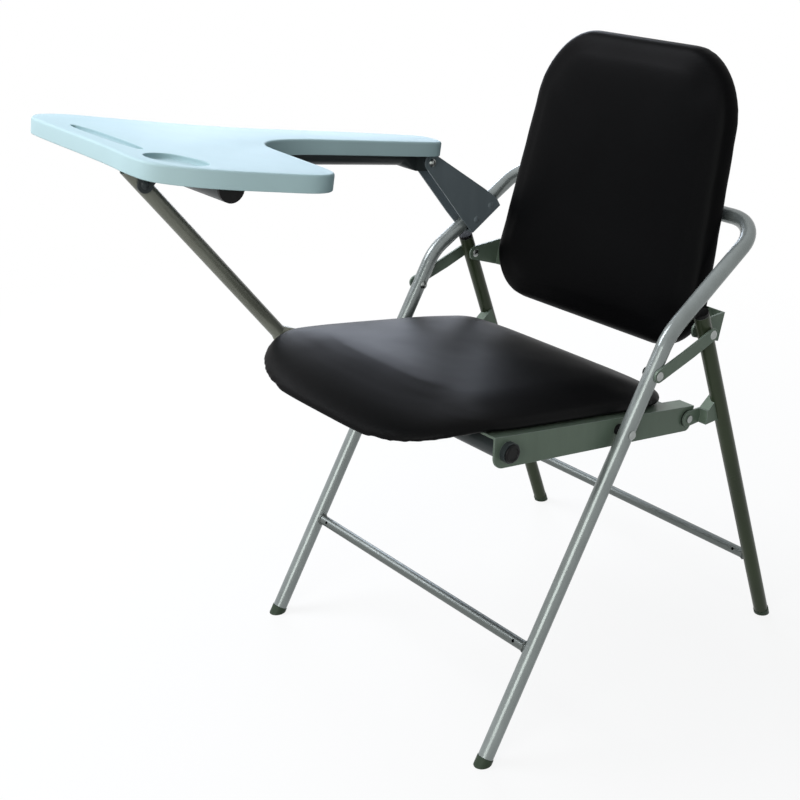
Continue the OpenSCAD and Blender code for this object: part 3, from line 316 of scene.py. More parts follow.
@dataclass(frozen=True)
class PaintedSteel(Finish):
    """Silver or dark metallic paint: fine flake, slight cloudiness and rubbed edges."""

    worn: Colour = (176, 182, 184)
    cloud: float = 0.12
    flake: float = 0.10
    cloud_scale: float = 9.0
    flake_scale: float = 2600.0
    rub_reach: float = 0.0012
    peel_depth: float = 0.0004

    def surface(self, graph: Graph) -> tuple[Wire, Wire, Wire]:
        """Cloudy colour, flake, rubbed edges and a light orange peel."""
        where = graph.place()
        clouds = graph.noise(where, self.cloud_scale, 4.0)
        streaks = graph.noise(graph.place((60.0, 60.0, 8.0)), 1.0, 3.0)
        flake = graph.cells(where, self.flake_scale)
        base = linear(self.colour)
        darker = shaded(base, 1 - 2 * self.cloud)
        lighter = shaded(base, 1 + 2 * self.flake)
        cloudy = graph.mix(graph.between(clouds * 0.6 + streaks * 0.4, 0.35, 0.68), darker, base)
        flaked = graph.mix(graph.between(flake, 0.0, 0.35, 1.0, 0.0), cloudy, lighter)
        rubbed = graph.edge_wear(self.rub_reach) * graph.noise(where, 55.0)
        colour = graph.mix(graph.between(rubbed, 0.02, 0.12, 0.0, 0.55), flaked, linear(self.worn))
        rough = graph.between(clouds, 0.3, 0.7, self.roughness - 0.05, self.roughness + 0.08)
        peel = graph.bump(graph.noise(where, 420.0, 2.0), 0.12, self.peel_depth)
        return colour, rough, peel


@dataclass(frozen=True)
class BrightSteel(Finish):
    """Drawn or plated steel with fine lines along one axis and a few dull spots."""

    lines: Point3 = (12.0, 900.0, 900.0)
    spot_scale: float = 130.0
    spot_shade: float = 0.45
    line_depth: float = 0.0002

    def surface(self, graph: Graph) -> tuple[Wire, Wire, Wire]:
        """Drawing lines, dull spots and a soft haze."""
        drawn = graph.noise(graph.place(self.lines), 1.0, 4.0, 0.6)
        spots = graph.noise(graph.place(), self.spot_scale, 4.0)
        base = linear(self.colour)
        dull = shaded(base, self.spot_shade)
        colour = graph.mix(graph.between(spots, 0.62, 0.8, 0.0, 0.35), base, dull)
        rough = graph.between(drawn + spots * 0.5, 0.45, 1.0, self.roughness - 0.06, self.roughness + 0.12)
        return colour, rough, graph.bump(drawn, 0.15, self.line_depth)


@dataclass(frozen=True)
class MouldedPlastic(Finish):
    """Moulded plastic: a fine texture, soft colour change, paler edges and painted shade in hollows."""

    grain: float = 900.0
    grain_depth: float = 0.0002
    edge: float = 0.35
    edge_reach: float = 0.0015
    cloud: float = 0.10
    cloud_scale: float = 14.0
    # Strength of the painted shade in hollows; 0 leaves it out.
    hollow: float = 0.0
    painted_shade_reach: float = 0.045
    painted_shade_tint: Colour = (0.40, 0.50, 0.50)

    def surface(self, graph: Graph) -> tuple[Wire, Wire, Wire]:
        """Texture, colour change, scuffs, edges and painted shade in hollows."""
        where = graph.place()
        clouds = graph.noise(where, self.cloud_scale, 4.0)
        grain = graph.noise(where, self.grain, 2.0)
        scuffs = graph.noise(graph.place((30.0, 240.0, 60.0), (0.0, 0.0, 0.6)), 1.0, 5.0, 0.7)
        base = linear(self.colour)
        darker = shaded(base, 1 - self.cloud)
        colour = graph.mix(graph.between(clouds, 0.35, 0.65), darker, base)
        wear = graph.between(graph.edge_wear(self.edge_reach), 0.02, 0.2, 0.0, self.edge)
        colour = graph.mix(wear, colour, shaded(base, 1.12, 0.02))
        # Painted shade: ambient occlusion darkens and tints hollows, recesses and undersides.
        if self.hollow:
            shade = graph.between(graph.openness(self.painted_shade_reach), 0.55, 0.97, self.hollow, 0.0)
            painted_shade_colour = tuple(c * t for c, t in zip(base, self.painted_shade_tint)) + (1.0,)
            colour = graph.mix(shade, colour, painted_shade_colour)
        rough = graph.between(scuffs, 0.4, 0.75, self.roughness, self.roughness + 0.12)
        return colour, rough, graph.bump(grain, 0.25, self.grain_depth)


@dataclass(frozen=True)
class Leatherette(Finish):
    """Coated upholstery cloth: pebbled grain with painted shade in its creases, fine pores, a soft satin
    sheen and patches of painted sheen.
    """

    pebble: float = 900.0
    pebble_depth: float = 0.00005
    wobble: float = 0.0012
    pore: float = 2400.0
    pore_depth: float = 0.00003

    def surface(self, graph: Graph) -> tuple[Wire, Wire, Wire]:
        """Pebbles with painted shade in the creases between them, pores, and patches of painted shine."""
        where = graph.place()
        swirl = graph.node("ShaderNodeTexNoise", None, {"Vector": where, "Scale": 160.0}, "Color")
        bent = graph.vector("ADD", {0: where, 1: graph.vector("SCALE", {0: swirl, "Scale": self.wobble})})
        creases = graph.cells(bent, self.pebble, "DISTANCE_TO_EDGE")
        pores = graph.noise(where, self.pore, 2.0)
        patches = graph.noise(where, 7.0, 3.0)
        base = linear(self.colour)
        # Painted sheen: the lighter colour in random patches; painted shade: the darker colour in the grain's
        # creases.
        painted_patch_sheen, dark = shaded(base, 1.5, 0.002), shaded(base, 0.6)
        pebbles = graph.between(creases, 0.0, 0.16)
        colour = graph.mix(pebbles, dark, graph.mix(patches, base, painted_patch_sheen))
        rough = graph.between(patches + pores * 0.2, 0.35, 0.85, self.roughness - 0.05, self.roughness + 0.07)
        fine = graph.bump(pores, 0.05, self.pore_depth)
        normal = graph.bump(pebbles, 0.12, self.pebble_depth, fine)
        return colour, rough, normal


@dataclass(frozen=True)
class Plywood(Finish):
    """Raw plywood with long grain and layered edges."""

    ply_scale: float = 110.0
    grain_depth: float = 0.0004

    def surface(self, graph: Graph) -> tuple[Wire, Wire, Wire]:
        """Grain along Y and plies along Z."""
        grain = graph.noise(graph.place((90.0, 5.0, 90.0)), 1.0, 6.0, 0.65)
        plies = graph.node(
            "ShaderNodeTexWave", {"bands_direction": "Z"},
            {"Vector": graph.place(), "Scale": self.ply_scale}, "Fac",
        )
        base = linear(self.colour)
        dark = shaded(base, 0.55)
        colour = graph.mix(graph.between(grain, 0.35, 0.7, 0.0, 0.8), base, dark)
        colour = graph.mix(graph.between(plies, 0.6, 0.9, 0.0, 0.35), colour, dark)
        rough = graph.between(grain, 0.3, 0.7, 0.55, 0.75)
        return colour, rough, graph.bump(grain, 0.3, self.grain_depth)


class Finishes:
    """Every finish on the chair."""

    frame = PaintedSteel("frame_paint", (150, 156, 155), roughness=0.25, metallic=0.4, specular=0.3)
    # A darker, greener copy of the frame paint: painted shade and dark reflection on the rear legs.
    rear = PaintedSteel("rear_leg_shaded_paint", (62, 71, 52), roughness=0.32, metallic=0.1, specular=0.2)
    sheet = PaintedSteel("sheet_paint", (115, 130, 115), roughness=0.36, metallic=0.1, specular=0.2)
    dark = PaintedSteel("dark_paint", (132, 141, 148), roughness=0.38, specular=0.15, worn=(140, 148, 152))
    arm = PaintedSteel("arm_paint", (60, 65, 67), roughness=0.34, specular=0.2, worn=(84, 88, 90))
    strut = PaintedSteel("strut_paint", (130, 130, 120), roughness=0.28, metallic=0.15, specular=0.3)
    bar = BrightSteel("bar_steel", (102, 107, 105), roughness=0.36, metallic=0.7)
    rivet = BrightSteel("rivet_steel", (150, 154, 152), roughness=0.30, metallic=1.0, lines=(300.0,) * 3)
    weld = BrightSteel("weld_bead", (104, 108, 106), roughness=0.45, metallic=0.8, lines=(200.0,) * 3)
    plug = MouldedPlastic("cap_plastic", (15, 15, 16), roughness=0.42, specular=0.15, edge=0.12)
    foot = MouldedPlastic("foot_plastic", (58, 70, 56), roughness=0.5, specular=0.2)
    pad = MouldedPlastic("pad_rubber", (18, 18, 19), roughness=0.7, specular=0.1, edge=0.1)
    back_shell = MouldedPlastic(
        "back_shell", (18, 18, 20), roughness=0.5, specular=0.15, grain=500.0, edge=0.15
    )
    # The tablet gets painted shade in its recesses and on its underside.
    tablet = MouldedPlastic(
        "tablet_plastic", (197, 222, 228), roughness=0.52, specular=0.04, grain=700.0, grain_depth=0.00012,
        cloud=0.03, hollow=0.8,
    )
    # One leather in two copies: the backrest's is darker and less glossy, painted shade on the backrest.
    leather = Leatherette("black_leather", (8, 8, 9), roughness=0.46, specular=0.06)
    shaded_back_leather = Leatherette("shaded_back_leather", (7, 7, 8), roughness=0.42, specular=0.03)
    plywood = Plywood("plywood", (66, 54, 42), specular=0.1)


# Mesh helpers


def new_object(name: str, data: bpy.types.ID) -> Object:
    """Link a mesh, lamp or camera to the scene as an object of that name."""
    obj = bpy.data.objects.new(name, data)
    bpy.context.scene.collection.objects.link(obj)
    return obj


def shade_smooth(mesh: bpy.types.Mesh, degrees: float | None = None) -> None:
    """Shade a mesh smooth, apart from edges that turn by more than an angle, if one is given."""
    for polygon in mesh.polygons:
        polygon.use_smooth = True
    if degrees is not None:
        mesh.set_sharp_from_angle(angle=radians(degrees))


def from_bmesh(name: str, bm: bmesh.types.BMesh, smooth: float | None = None) -> Object:
    """Turn a bmesh into a linked object.

    Args:
        name: The object's name.
        bm: The finished bmesh, which is freed.
        smooth: Faces that meet under this angle in degrees are shaded smooth; none are without it.

    Returns:
        The object.
    """
    bmesh.ops.recalc_face_normals(bm, faces=bm.faces)
    mesh = bpy.data.meshes.new(name)
    bm.to_mesh(mesh)
    bm.free()
    if smooth is not None:
        shade_smooth(mesh, smooth)
    return new_object(name, mesh)


def apply_all(obj: Object) -> None:
    """Apply every modifier of an object to its mesh."""
    graph = bpy.context.evaluated_depsgraph_get()
    evaluated = obj.evaluated_get(graph)
    mesh = bpy.data.meshes.new_from_object(evaluated, depsgraph=graph)
    obj.modifiers.clear()
    obj.data = mesh


def modify(obj: Object, kind: str, **settings: object) -> bpy.types.Modifier:
    """Add a modifier with its settings."""
    made = obj.modifiers.new(kind.lower(), kind)
    for name, value in settings.items():
        setattr(made, name, value)
    return made


def ring_skin(
    bm: bmesh.types.BMesh, rings: Sequence[Sequence[Point3]], close_ends: bool = True
) -> list[list[bmesh.types.BMVert]]:
    """Skin a stack of rings of equal length with quads.

    Args:
        bm: Where to build.
        rings: The rings, from one end to the other.
        close_ends: Close both ends with a fan to the ring's middle.

    Returns:
        The points of each ring.
    """
    rows = [[bm.verts.new(p) for p in ring] for ring in rings]
    count = len(rows[0])
    for low, high in zip(rows, rows[1:]):
        for i in range(count):
            j = (i + 1) % count
            bm.faces.new((low[i], low[j], high[j], high[i]))
    if close_ends:
        for row in (rows[0], rows[-1]):
            middle = bm.verts.new(sum((v.co for v in row), Vector()) / count)
            for i in range(count):
                bm.faces.new((row[i], row[(i + 1) % count], middle))
    return rows


def skinned(name: str, rings: Sequence[Sequence[Point3]], smooth: float | None = None) -> Object:
    """An object skinned over rings and closed at both ends; smooth is as in from_bmesh."""
    bm = bmesh.new()
    ring_skin(bm, rings)
    return from_bmesh(name, bm, smooth)


def lathe(bm: bmesh.types.BMesh, profile: Sequence[Point2], place: Matrix, steps: int = 48) -> None:
    """Turn a profile about Z and put it at a place.

    Args:
        bm: Where to build.
        profile: Its (radius, height) pairs, from one end to the other.
        place: Where its axis goes.
        steps: Steps round the axis.
    """
    rings = []
    for r, height in profile:
        angles = (tau * i / steps for i in range(steps))
        rings.append([place @ Vector((r * cos(a), r * sin(a), height)) for a in angles])
    ring_skin(bm, rings)


def bar_ends(node: str, sink: float) -> list[tuple[str, Matrix]]:
    """The two ends of a CAD bar along X.

    Args:
        node: The bar's node.
        sink: How far inside the end faces.

    Returns:
        The side of each end and its place, with Z outwards.
    """
    low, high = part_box(node)
    middle = (Vector(low) + Vector(high)) / 2
    out = []
    for side, toward, face in (("left", 1, high[0]), ("right", -1, low[0])):
        turn = Vector((toward, 0, 0)).to_track_quat("Z", "Y").to_matrix().to_4x4()
        out.append((side, Matrix.Translation((face - toward * sink, middle.y, middle.z)) @ turn))
    return out


def smooth_ring(points: Sequence[Point2], steps: int) -> list[Point2]:
    """A closed smooth curve through points.

    Args:
        points: The points to pass through.
        steps: Points of the curve from each one to the next.

    Returns:
        Points of the closed curve.
    """
    out = []
    n = len(points)
    for i in range(n):
        p, a, b, c = (Vector(points[(i + k) % n]) for k in (-1, 0, 1, 2))
        square = 2 * p - 5 * a + 4 * b - c
        cube = 3 * a - p - 3 * b + c
        for s in range(steps):
            t = s / steps
            v = 0.5 * (2 * a + (b - p) * t + square * t * t + cube * t**3)
            out.append((v.x, v.y))
    return out


def inset(ring: Sequence[Point2], distance: float) -> list[Point2]:
    """A closed ring moved inwards.

    Args:
        ring: The ring, anticlockwise seen from above.
        distance: How far it moves.

    Returns:
        The moved ring.
    """
    out = []
    for i, (x, y) in enumerate(ring):
        t = (Vector(ring[(i + 1) % len(ring)]) - Vector(ring[i - 1])).normalized()
        out.append((x - distance * t.y, y + distance * t.x))
    return out


def shrunk(ring: Sequence[Point2], share: float, middle: float) -> list[Point2]:
    """A ring scaled about a point of its second axis."""
    return [(x * share, middle + (y - middle) * share) for x, y in ring]


def superellipse(value: float, power: float) -> float:
    """A cosine or sine pushed outwards: 2 keeps it, and more gives squarer corners."""
    return copysign(abs(value) ** (2 / power), value)


# Shared layout


class Body(Enum):
    """The bodies that new pieces ride on."""

    FRONT = "front_frame"
    SEAT = "seat"
    REAR = "rear_legs"
    BACK = "backrest"
    TABLET = "tablet"


@dataclass
class Layout:
    """Frames that assemblies are drawn in, each turned about X at a packed joint.

    The seat and the tablet run along -Y of theirs, and the backrest runs up Z.
    """

    joints: Sequence[dict]
    slopes: dict[str, float] = field(
        default_factory=lambda: {"seat_fold": -9.5, "backrest_tilt": -13.0, "tablet_lift": -9.0}
    )

    def frame(self, joint: str) -> Matrix:
        """From the turned frame at a joint to the chair's frame."""
        place = Vector(next(j["pos_m"] for j in self.joints if j["name"] == joint))
        return Matrix.Translation(place) @ Matrix.Rotation(radians(self.slopes[joint]), 4, "X")


def place_piece(
    obj: Object, body: Body, finish: Finish, nodes: Iterable[str] = ()
) -> Object:
    """Dress a new piece and tie it to its body.

    Args:
        obj: The piece, already in place.
        body: The body it rides on.
        finish: Its finish.
        nodes: CAD nodes that it stands for.

    Returns:
        The piece.
    """
    finish.dress(obj)
    if nodes:
        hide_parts(*nodes)
    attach(obj, body.value)
    log.info("piece %s: %d faces on %s", obj.name, len(obj.data.polygons), body.value)
    return obj


# Cushions


@dataclass
class Stuffing:
    """How a cushion is blown up by the cloth simulation."""

    voxel: float = 0.0045
    pressure: float = 4.0
    frames: int = 20
    quality: int = 5
    mass: float = 0.3
    stiffness: float = 15.0
    bending: float = 0.6
    swell: float = 0.004
    evening: int = 40
    smoothing: int = 8

    def inflate(self, obj: Object, held: Callable[[Vector], float]) -> None:
        """Swell a closed pad, hold it where it is fixed, and smooth it.

        Args:
            obj: The pad, a little smaller than wanted.
            held: 0 where a point is fixed and 1 where it is free.
        """
        modify(obj, "REMESH", mode="VOXEL", voxel_size=self.voxel)
        apply_all(obj)
        start = [v.co.copy() for v in obj.data.vertices]
        free = [held(p) for p in start]
        self._simulate(obj, free)
        self._even_out(obj.data, start, free)
        modify(obj, "SMOOTH", factor=0.5, iterations=self.smoothing)
        modify(obj, "SUBSURF", levels=1, render_levels=1)
        apply_all(obj)
        shade_smooth(obj.data)

    def _even_out(self, mesh: bpy.types.Mesh, start: Sequence[Vector], free: Sequence[float]) -> None:
        """Cap the swell and spread it evenly, so that tight leather shows no folds.

        Args:
            mesh: The mesh after the simulation.
            start: Where its points were before.
            free: For each point, 0 where it is fixed and 1 where it is free.
        """
        before = np.array(start)
        after = np.empty(len(start) * 3)
        mesh.vertices.foreach_get("co", after)
        share = np.array(free)[:, None]
        move = after.reshape(-1, 3) - before
        length = np.maximum(np.linalg.norm(move, axis=1, keepdims=True), 1e-9)
        move *= np.minimum(length, self.swell * share) / length
        ends = np.empty(len(mesh.edges) * 2, dtype=int)
        mesh.edges.foreach_get("vertices", ends)
        first, second = ends[0::2], ends[1::2]
        count = np.bincount(ends, minlength=len(start))[:, None]
        for _ in range(self.evening):
            total = np.zeros_like(move)
            np.add.at(total, first, move[second])
            np.add.at(total, second, move[first])
            move = 0.5 * move + 0.5 * total / np.maximum(count, 1)
        mesh.vertices.foreach_set("co", (before + move * np.minimum(1.0, share)).ravel())
        mesh.update()

    def _simulate(self, obj: Object, free: Sequence[float]) -> None:
        """Run the cloth simulation and keep its last frame.

        Args:
            obj: The pad.
            free: For each point, 0 where it is fixed and 1 where it is free.
        """
        group = obj.vertex_groups.new(name="fixed")
        for index, weight in enumerate(free):
            if weight < 1.0:
                group.add([index], 1.0 - weight, "REPLACE")
        cloth = modify(obj, "CLOTH")
        settings = cloth.settings
        settings.quality = self.quality
        settings.mass = self.mass
        settings.tension_stiffness = self.stiffness
        settings.compression_stiffness = self.stiffness
        settings.bending_stiffness = self.bending
        settings.use_pressure = True
        settings.uniform_pressure_force = self.pressure
        settings.vertex_group_mass = "fixed"
        settings.effector_weights.gravity = 0.0
        cloth.collision_settings.use_collision = False
        scene = bpy.context.scene
        cloth.point_cache.frame_start = 1
        cloth.point_cache.frame_end = self.frames
        for frame_number in range(1, self.frames + 1):
            scene.frame_set(frame_number)
        apply_all(obj)
        scene.frame_set(1)
        obj.vertex_groups.clear()


@dataclass
class SeatCushion:
    """The black seat pad: rounded front corners, a front that rolls down and tight rear corners.

    The underside holds (height, inward draw) pairs, upwards; the shares are of the way out to the edge.
    """

    layout: Layout
    half_width: float = 0.203
    front_reach: float = 0.306
    back_reach: float = 0.122
    low: float = 0.0150
    edge: float = 0.020
    edge_start: float = 0.42
    edge_power: int = 24
    crown: float = 0.010
    front_drop: float = 0.036
    drop_from: float = 0.206
    front_power: float = 3.5
    rear_power: float = 8.0
    widest: float = -0.1224
    pull_in: float = 0.0005
    held_height: float = 0.004
    free_over: float = 0.008
    steps: int = 24
    underside: tuple[Point2, ...] = (
        (0.0042, 0.060), (0.0036, 0.034), (0.0016, 0.0175), (0.0, 0.0098), (0.0008, 0.0058),
        (0.0024, 0.0030), (0.0046, 0.0011), (0.0068, 0.0002),
    )
    top_shares: tuple[float, ...] = (
        1.0, 0.996, 0.988, 0.975, 0.955, 0.93, 0.9, 0.86, 0.8, 0.72, 0.62, 0.5, 0.36, 0.2,
    )
    stuffing: Stuffing = field(default_factory=Stuffing)

    def outline(self, inside: float) -> list[Point2]:
        """The pad seen from above.

        Args:
            inside: How far inside the full outline.

        Returns:
            Points of a closed ring.
        """
        half = self.half_width - inside
        front = (self.front_power, self.front_reach - inside + self.widest)
        rear = (self.rear_power, self.back_reach - inside - self.widest)
        ring = []
        for quarter, (power, reach) in enumerate((rear, rear, front, front)):
            for i in range(self.steps):
                a = pi / 2 * (quarter + i / self.steps)
                x = superellipse(cos(a), power) * half
                ring.append((x, self.widest + superellipse(sin(a), power) * reach))
        return ring

    def drop(self, y: float) -> float:
        """How far the pad rolls down at a place along it."""
        t = max(0.0, (-y - self.drop_from) / (self.front_reach - self.drop_from))
        return -self.front_drop * t * t

    def height(self, share: float) -> float:
        """The upper surface above the underside, at a share of the way out to the edge."""
        start = self.edge_start * self.edge
        roll = sqrt(max(0.0, 1 - share**self.edge_power))
        return start + (self.edge - start) * roll + (self.crown - self.pull_in) * (1 - share**CROWN_POWER)

    def held(self, p: Vector) -> float:
        """0 on the board and 1 well above it."""
        return min(1.0, max(0.0, (p.z - self.drop(p.y) - self.low - self.held_height) / self.free_over))

    def build(self) -> Object:
        """Build, swell and dress the pad."""
        middle = (self.back_reach - self.front_reach) / 2
        top = self.outline(self.pull_in)
        levels = [(height, self.outline(draw + self.pull_in)) for height, draw in self.underside]
        levels += [(self.height(share), shrunk(top, share, middle)) for share in self.top_shares]
        rings = [[(x, y, self.low + height + self.drop(y)) for x, y in ring] for height, ring in levels]
        obj = skinned("seat_cushion_cover", rings, PAD_SMOOTH)
        self.stuffing.inflate(obj, self.held)
        obj.data.transform(self.layout.frame("seat_fold"))
        place_piece(obj, Body.SEAT, Finishes.leather, ["seat_cushion"])
        return obj


@dataclass
class BackCushion:
    """The black backrest pad with its moulded rear shell.

    The lip and the shell hold (depth from the rear face, inward draw) pairs.
    """

    layout: Layout
    half_width: float = 0.188
    top_half_width: float = 0.168
    low_reach: float = 0.045
    high_reach: float = 0.334
    rear: float = 0.0447
    thickness: float = 0.036
    crown: float = 0.006
    corner: float = 0.086
    low_corner: float = 0.068
    wide_share: float = 0.16
    taper: float = 0.9
    arch: float = 0.03
    pull_in: float = 0.0005
    held_depth: float = 0.005
    free_over: float = 0.010
    steps: int = 14
    straight_steps: int = 16
    lip: tuple[Point2, ...] = ((0.003, 0.030), (0.003, 0.0125), (0.0003, 0.0085), (0.0, 0.006))
    side_draw: float = 0.012
    side_power: float = 1.3
    side_steps: int = 9
    top_draw: float = 0.013
    top_shares: tuple[float, ...] = (1.0, 0.94, 0.86, 0.76, 0.64, 0.5, 0.35, 0.2)
    shell: tuple[Point2, ...] = (
        (0.004, 0.0105), (0.0012, 0.0095), (0.0003, 0.0103), (0.0, 0.0125), (0.0, 0.022),
        (0.0004, 0.025), (0.0004, 0.030),
    )
    shell_smooth: float = 30.0
    stuffing: Stuffing = field(default_factory=Stuffing)

    def outline(self, inside: float) -> list[Point2]:
        """The backrest seen from the front.

        Args:
            inside: How far inside the full outline.

        Returns:
            Points of a closed ring.
        """
        w = self.half_width - inside
        t = self.top_half_width - inside
        low, high = -self.low_reach + inside, self.high_reach - inside
        rb, rt = self.low_corner - inside, self.corner - inside
        ring = []
        for cx, cz, r, a0 in (
            (w - rb, low + rb, rb, 0.0),
            (rb - w, low + rb, rb, -90.0),
            (rt - w, high - rt, rt, 180.0),
            (w - rt, high - rt, rt, 90.0),
        ):
            for i in range(self.steps + 1):
                a = radians(a0 - 90.0 * i / self.steps)
                ring.append((cx + r * cos(a), cz + r * sin(a)))
        wide_z = self.wide_share * self.high_reach
        out = []
        for x, z in ring:
            rise = max(0.0, (z - wide_z) / (high - rt - wide_z))
            narrow = x * (1 + (t / w - 1) * self.taper * rise)
            out.append((narrow, z * (1 + self.arch * (1 - (x / w) ** 2))))
        dense: list[Point2] = []
        for i, (x, z) in enumerate(out):
            nx, nz = out[(i + 1) % len(out)]
            pieces = self.straight_steps if (i + 1) % (self.steps + 1) == 0 else 1
            dense.extend((x + (nx - x) * k / pieces, z + (nz - z) * k / pieces) for k in range(pieces))
        return dense

    def side(self) -> list[Point2]:
        """The pad's round side as (depth, inward draw), forwards."""
        out = []
        for i in range(1, self.side_steps):
            a = pi * i / self.side_steps - pi / 2
            depth = (self.thickness - self.crown) * (0.5 + 0.5 * sin(a))
            out.append((depth, self.side_draw * (1 - cos(a)) ** self.side_power))
        return out

    def held(self, p: Vector) -> float:
        """0 on the shell and 1 well in front of it."""
        return min(1.0, max(0.0, (self.rear - self.held_depth - p.y) / self.free_over))

    def stand(self, levels: Sequence[tuple[float, list[Point2]]]) -> list[list[Point3]]:
        """Rings stood at their depths from the rear face."""
        return [[(x, self.rear - depth, z) for x, z in ring] for depth, ring in levels]

    def build(self) -> None:
        """Build, swell and dress the pad, and the shell behind it."""
        pairs = [*self.lip, *self.side()]
        levels = [(depth, self.outline(draw + self.pull_in)) for depth, draw in pairs]
        top = self.outline(self.top_draw + self.pull_in)
        middle = (self.high_reach - self.low_reach) / 2
        for share in self.top_shares:
            swell = (self.crown - self.pull_in) * (1 - share**CROWN_POWER)
            levels.append((self.thickness - self.crown + swell, shrunk(top, share, middle)))
        frame = self.layout.frame("backrest_tilt")
        obj = skinned("back_cushion_cover", self.stand(levels), PAD_SMOOTH)
        self.stuffing.inflate(obj, self.held)
        obj.data.transform(frame)
        place_piece(obj, Body.BACK, Finishes.shaded_back_leather, ["back_cushion"])
        rings = self.stand([(depth, self.outline(draw)) for depth, draw in self.shell])
        panel = skinned("back_shell_panel", rings, self.shell_smooth)
        panel.data.transform(frame)
        place_piece(panel, Body.BACK, Finishes.back_shell, ["back_board"])


# Writing tablet


@dataclass(frozen=True)
class Recess:
    """An oval hollow in the tablet's top, at shares of the tablet's width and reach."""

    place: Point2
    half: Point2
    turn: float
    depth: float
    power: float = 2.5
    steps: int = 48


@dataclass
class Tablet:
    """The pale blue moulded tablet: rounded rim, hollow underside, cup recess and pen groove."""

    layout: Layout
    width: float = 0.400
    reach: float = 0.571
    top: float = 0.0312
    skirt: float = 0.020
    wall: float = 0.003
    plate: float = 0.004
    rim: float = 0.0032
    rim_steps: int = 5
    steps: int = 6
    smooth: float = 32.0
    floor: float = 0.0025
    cup: Recess = Recess((0.440, 0.885), (0.038, 0.025), 16.0, 0.006)
    groove: Recess = Recess((0.091, 0.900), (0.080, 0.009), 0.5, 0.005)
    notch_gap: float = 0.0025
    notch_share: float = 0.05
    notch_place: float = 0.015
    shares: tuple[Point2, ...] = (
        (-0.262, 0.940), (-0.200, 0.949), (-0.060, 0.952), (0.100, 0.953), (0.260, 0.957), (0.385, 0.965),
        (0.485, 0.958), (0.552, 0.912), (0.600, 0.845), (0.638, 0.750), (0.662, 0.668), (0.632, 0.619),
        (0.560, 0.600), (0.380, 0.587), (0.200, 0.568), (0.110, 0.512), (0.072, 0.413), (0.074, 0.270),
        (0.080, 0.131), (0.080, 0.020), (0.044, -0.012), (-0.020, -0.018), (-0.058, 0.000), (-0.080, 0.080),
        (-0.105, 0.215), (-0.121, 0.350), (-0.138, 0.480), (-0.184, 0.610), (-0.262, 0.745), (-0.320, 0.840),
        (-0.312, 0.906),
    )

    def ring(self) -> list[Point2]:
        """The tablet's outline, anticlockwise seen from above."""
        return smooth_ring([(x * self.width, -y * self.reach) for x, y in self.shares], self.steps)

    def oval(self, recess: Recess, levels: Sequence[Point2], name: str) -> Object:
        """Stack a recess's oval into a solid.

        Args:
            recess: The recess.
            levels: The height of each oval and how much larger than the recess it is.
            name: The object's name.

        Returns:
            The solid.
        """
        cx, cy = recess.place[0] * self.width, -recess.place[1] * self.reach
        c, s = cos(radians(recess.turn)), sin(radians(recess.turn))
        rings = []
        for z, grow in levels:
            ring = []
            for i in range(recess.steps):
                a = tau * i / recess.steps
                u = superellipse(cos(a), recess.power) * (recess.half[0] + grow)
                v = superellipse(sin(a), recess.power) * (recess.half[1] + grow)
                ring.append((cx + u * c - v * s, cy + u * s + v * c, z))
            rings.append(ring)
        return skinned(name, rings)

    def cutter(self, recess: Recess) -> Object:
        """A dish-shaped cutter for a recess."""
        d = recess.depth
        levels = ((0.004, 0.0014), (0.0004, 0.0014), (-0.0006, 0.0003), (-0.0016, 0.0),
                  (-d * 0.6, -0.0006), (-d * 0.88, -0.0022), (-d, -0.0052))
        return self.oval(recess, [(self.top + z, grow) for z, grow in levels], "recess_cutter")

    def well(self, recess: Recess) -> Object:
        """The pocket below a recess, seen from underneath."""
        top = self.top - self.plate + 0.001
        bottom = self.top - recess.depth - self.floor
        levels = ((top, 0.0035), (bottom + 0.0012, 0.0028), (bottom, 0.0014))
        return self.oval(recess, levels, "recess_well")

    def notch(self) -> Object:
        """The slot in the rear skirt that clears the bracket."""
        low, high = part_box("tablet_bracket")
        half = (high[0] - low[0]) / 2 + self.notch_gap
        size = (2 * half, self.notch_share * self.reach, self.skirt)
        height = self.top - self.plate - self.skirt / 2 - 0.0005
        bm = bmesh.new()
        bmesh.ops.create_cube(bm, size=1.0)
        bmesh.ops.scale(bm, vec=size, verts=bm.verts)
        bmesh.ops.translate(bm, vec=(0.0, self.notch_place * self.reach, height), verts=bm.verts)
        return from_bmesh("bracket_notch", bm)

    def levels(self) -> list[Point2]:
        """The shell's rings as (height, inward draw): up inside the skirt, round it and over the rim."""
        low, wall = self.top - self.skirt, self.wall
        out = [
            (self.top - self.plate, wall + 0.0006), (low + 0.0006, wall), (low, wall - 0.0007),
            (low, 0.0009), (low + 0.0009, 0.0001),
        ]
        for i in range(self.rim_steps + 1):
            a = radians(90 * i / self.rim_steps)
            out.append((self.top - self.rim + self.rim * sin(a), self.rim * (1 - cos(a))))
        return out

    def build(self) -> Object:
        """Build and dress the tablet."""
        ring = self.ring()
        bm = bmesh.new()
        rings = [[(x, y, height) for x, y in inset(ring, draw)] for height, draw in self.levels()]
        rows = ring_skin(bm, rings, close_ends=False)
        bm.faces.new(rows[0])
        bm.faces.new(rows[-1])
        obj = from_bmesh("tablet_top", bm)
        recesses = (self.cup, self.groove)
        added = [self.well(recess) for recess in recesses]
        taken = [*(self.cutter(recess) for recess in recesses), self.notch()]
        for operation, tools in (("UNION", added), ("DIFFERENCE", taken)):
            for tool in tools:
                modify(obj, "BOOLEAN", operation=operation, solver="EXACT", object=tool)
        apply_all(obj)
        for tool in added + taken:
            bpy.data.objects.remove(tool)
        shade_smooth(obj.data, self.smooth)
        obj.data.transform(self.layout.frame("tablet_lift"))
        return place_piece(obj, Body.TABLET, Finishes.tablet, ["tablet_board"])


# Frame


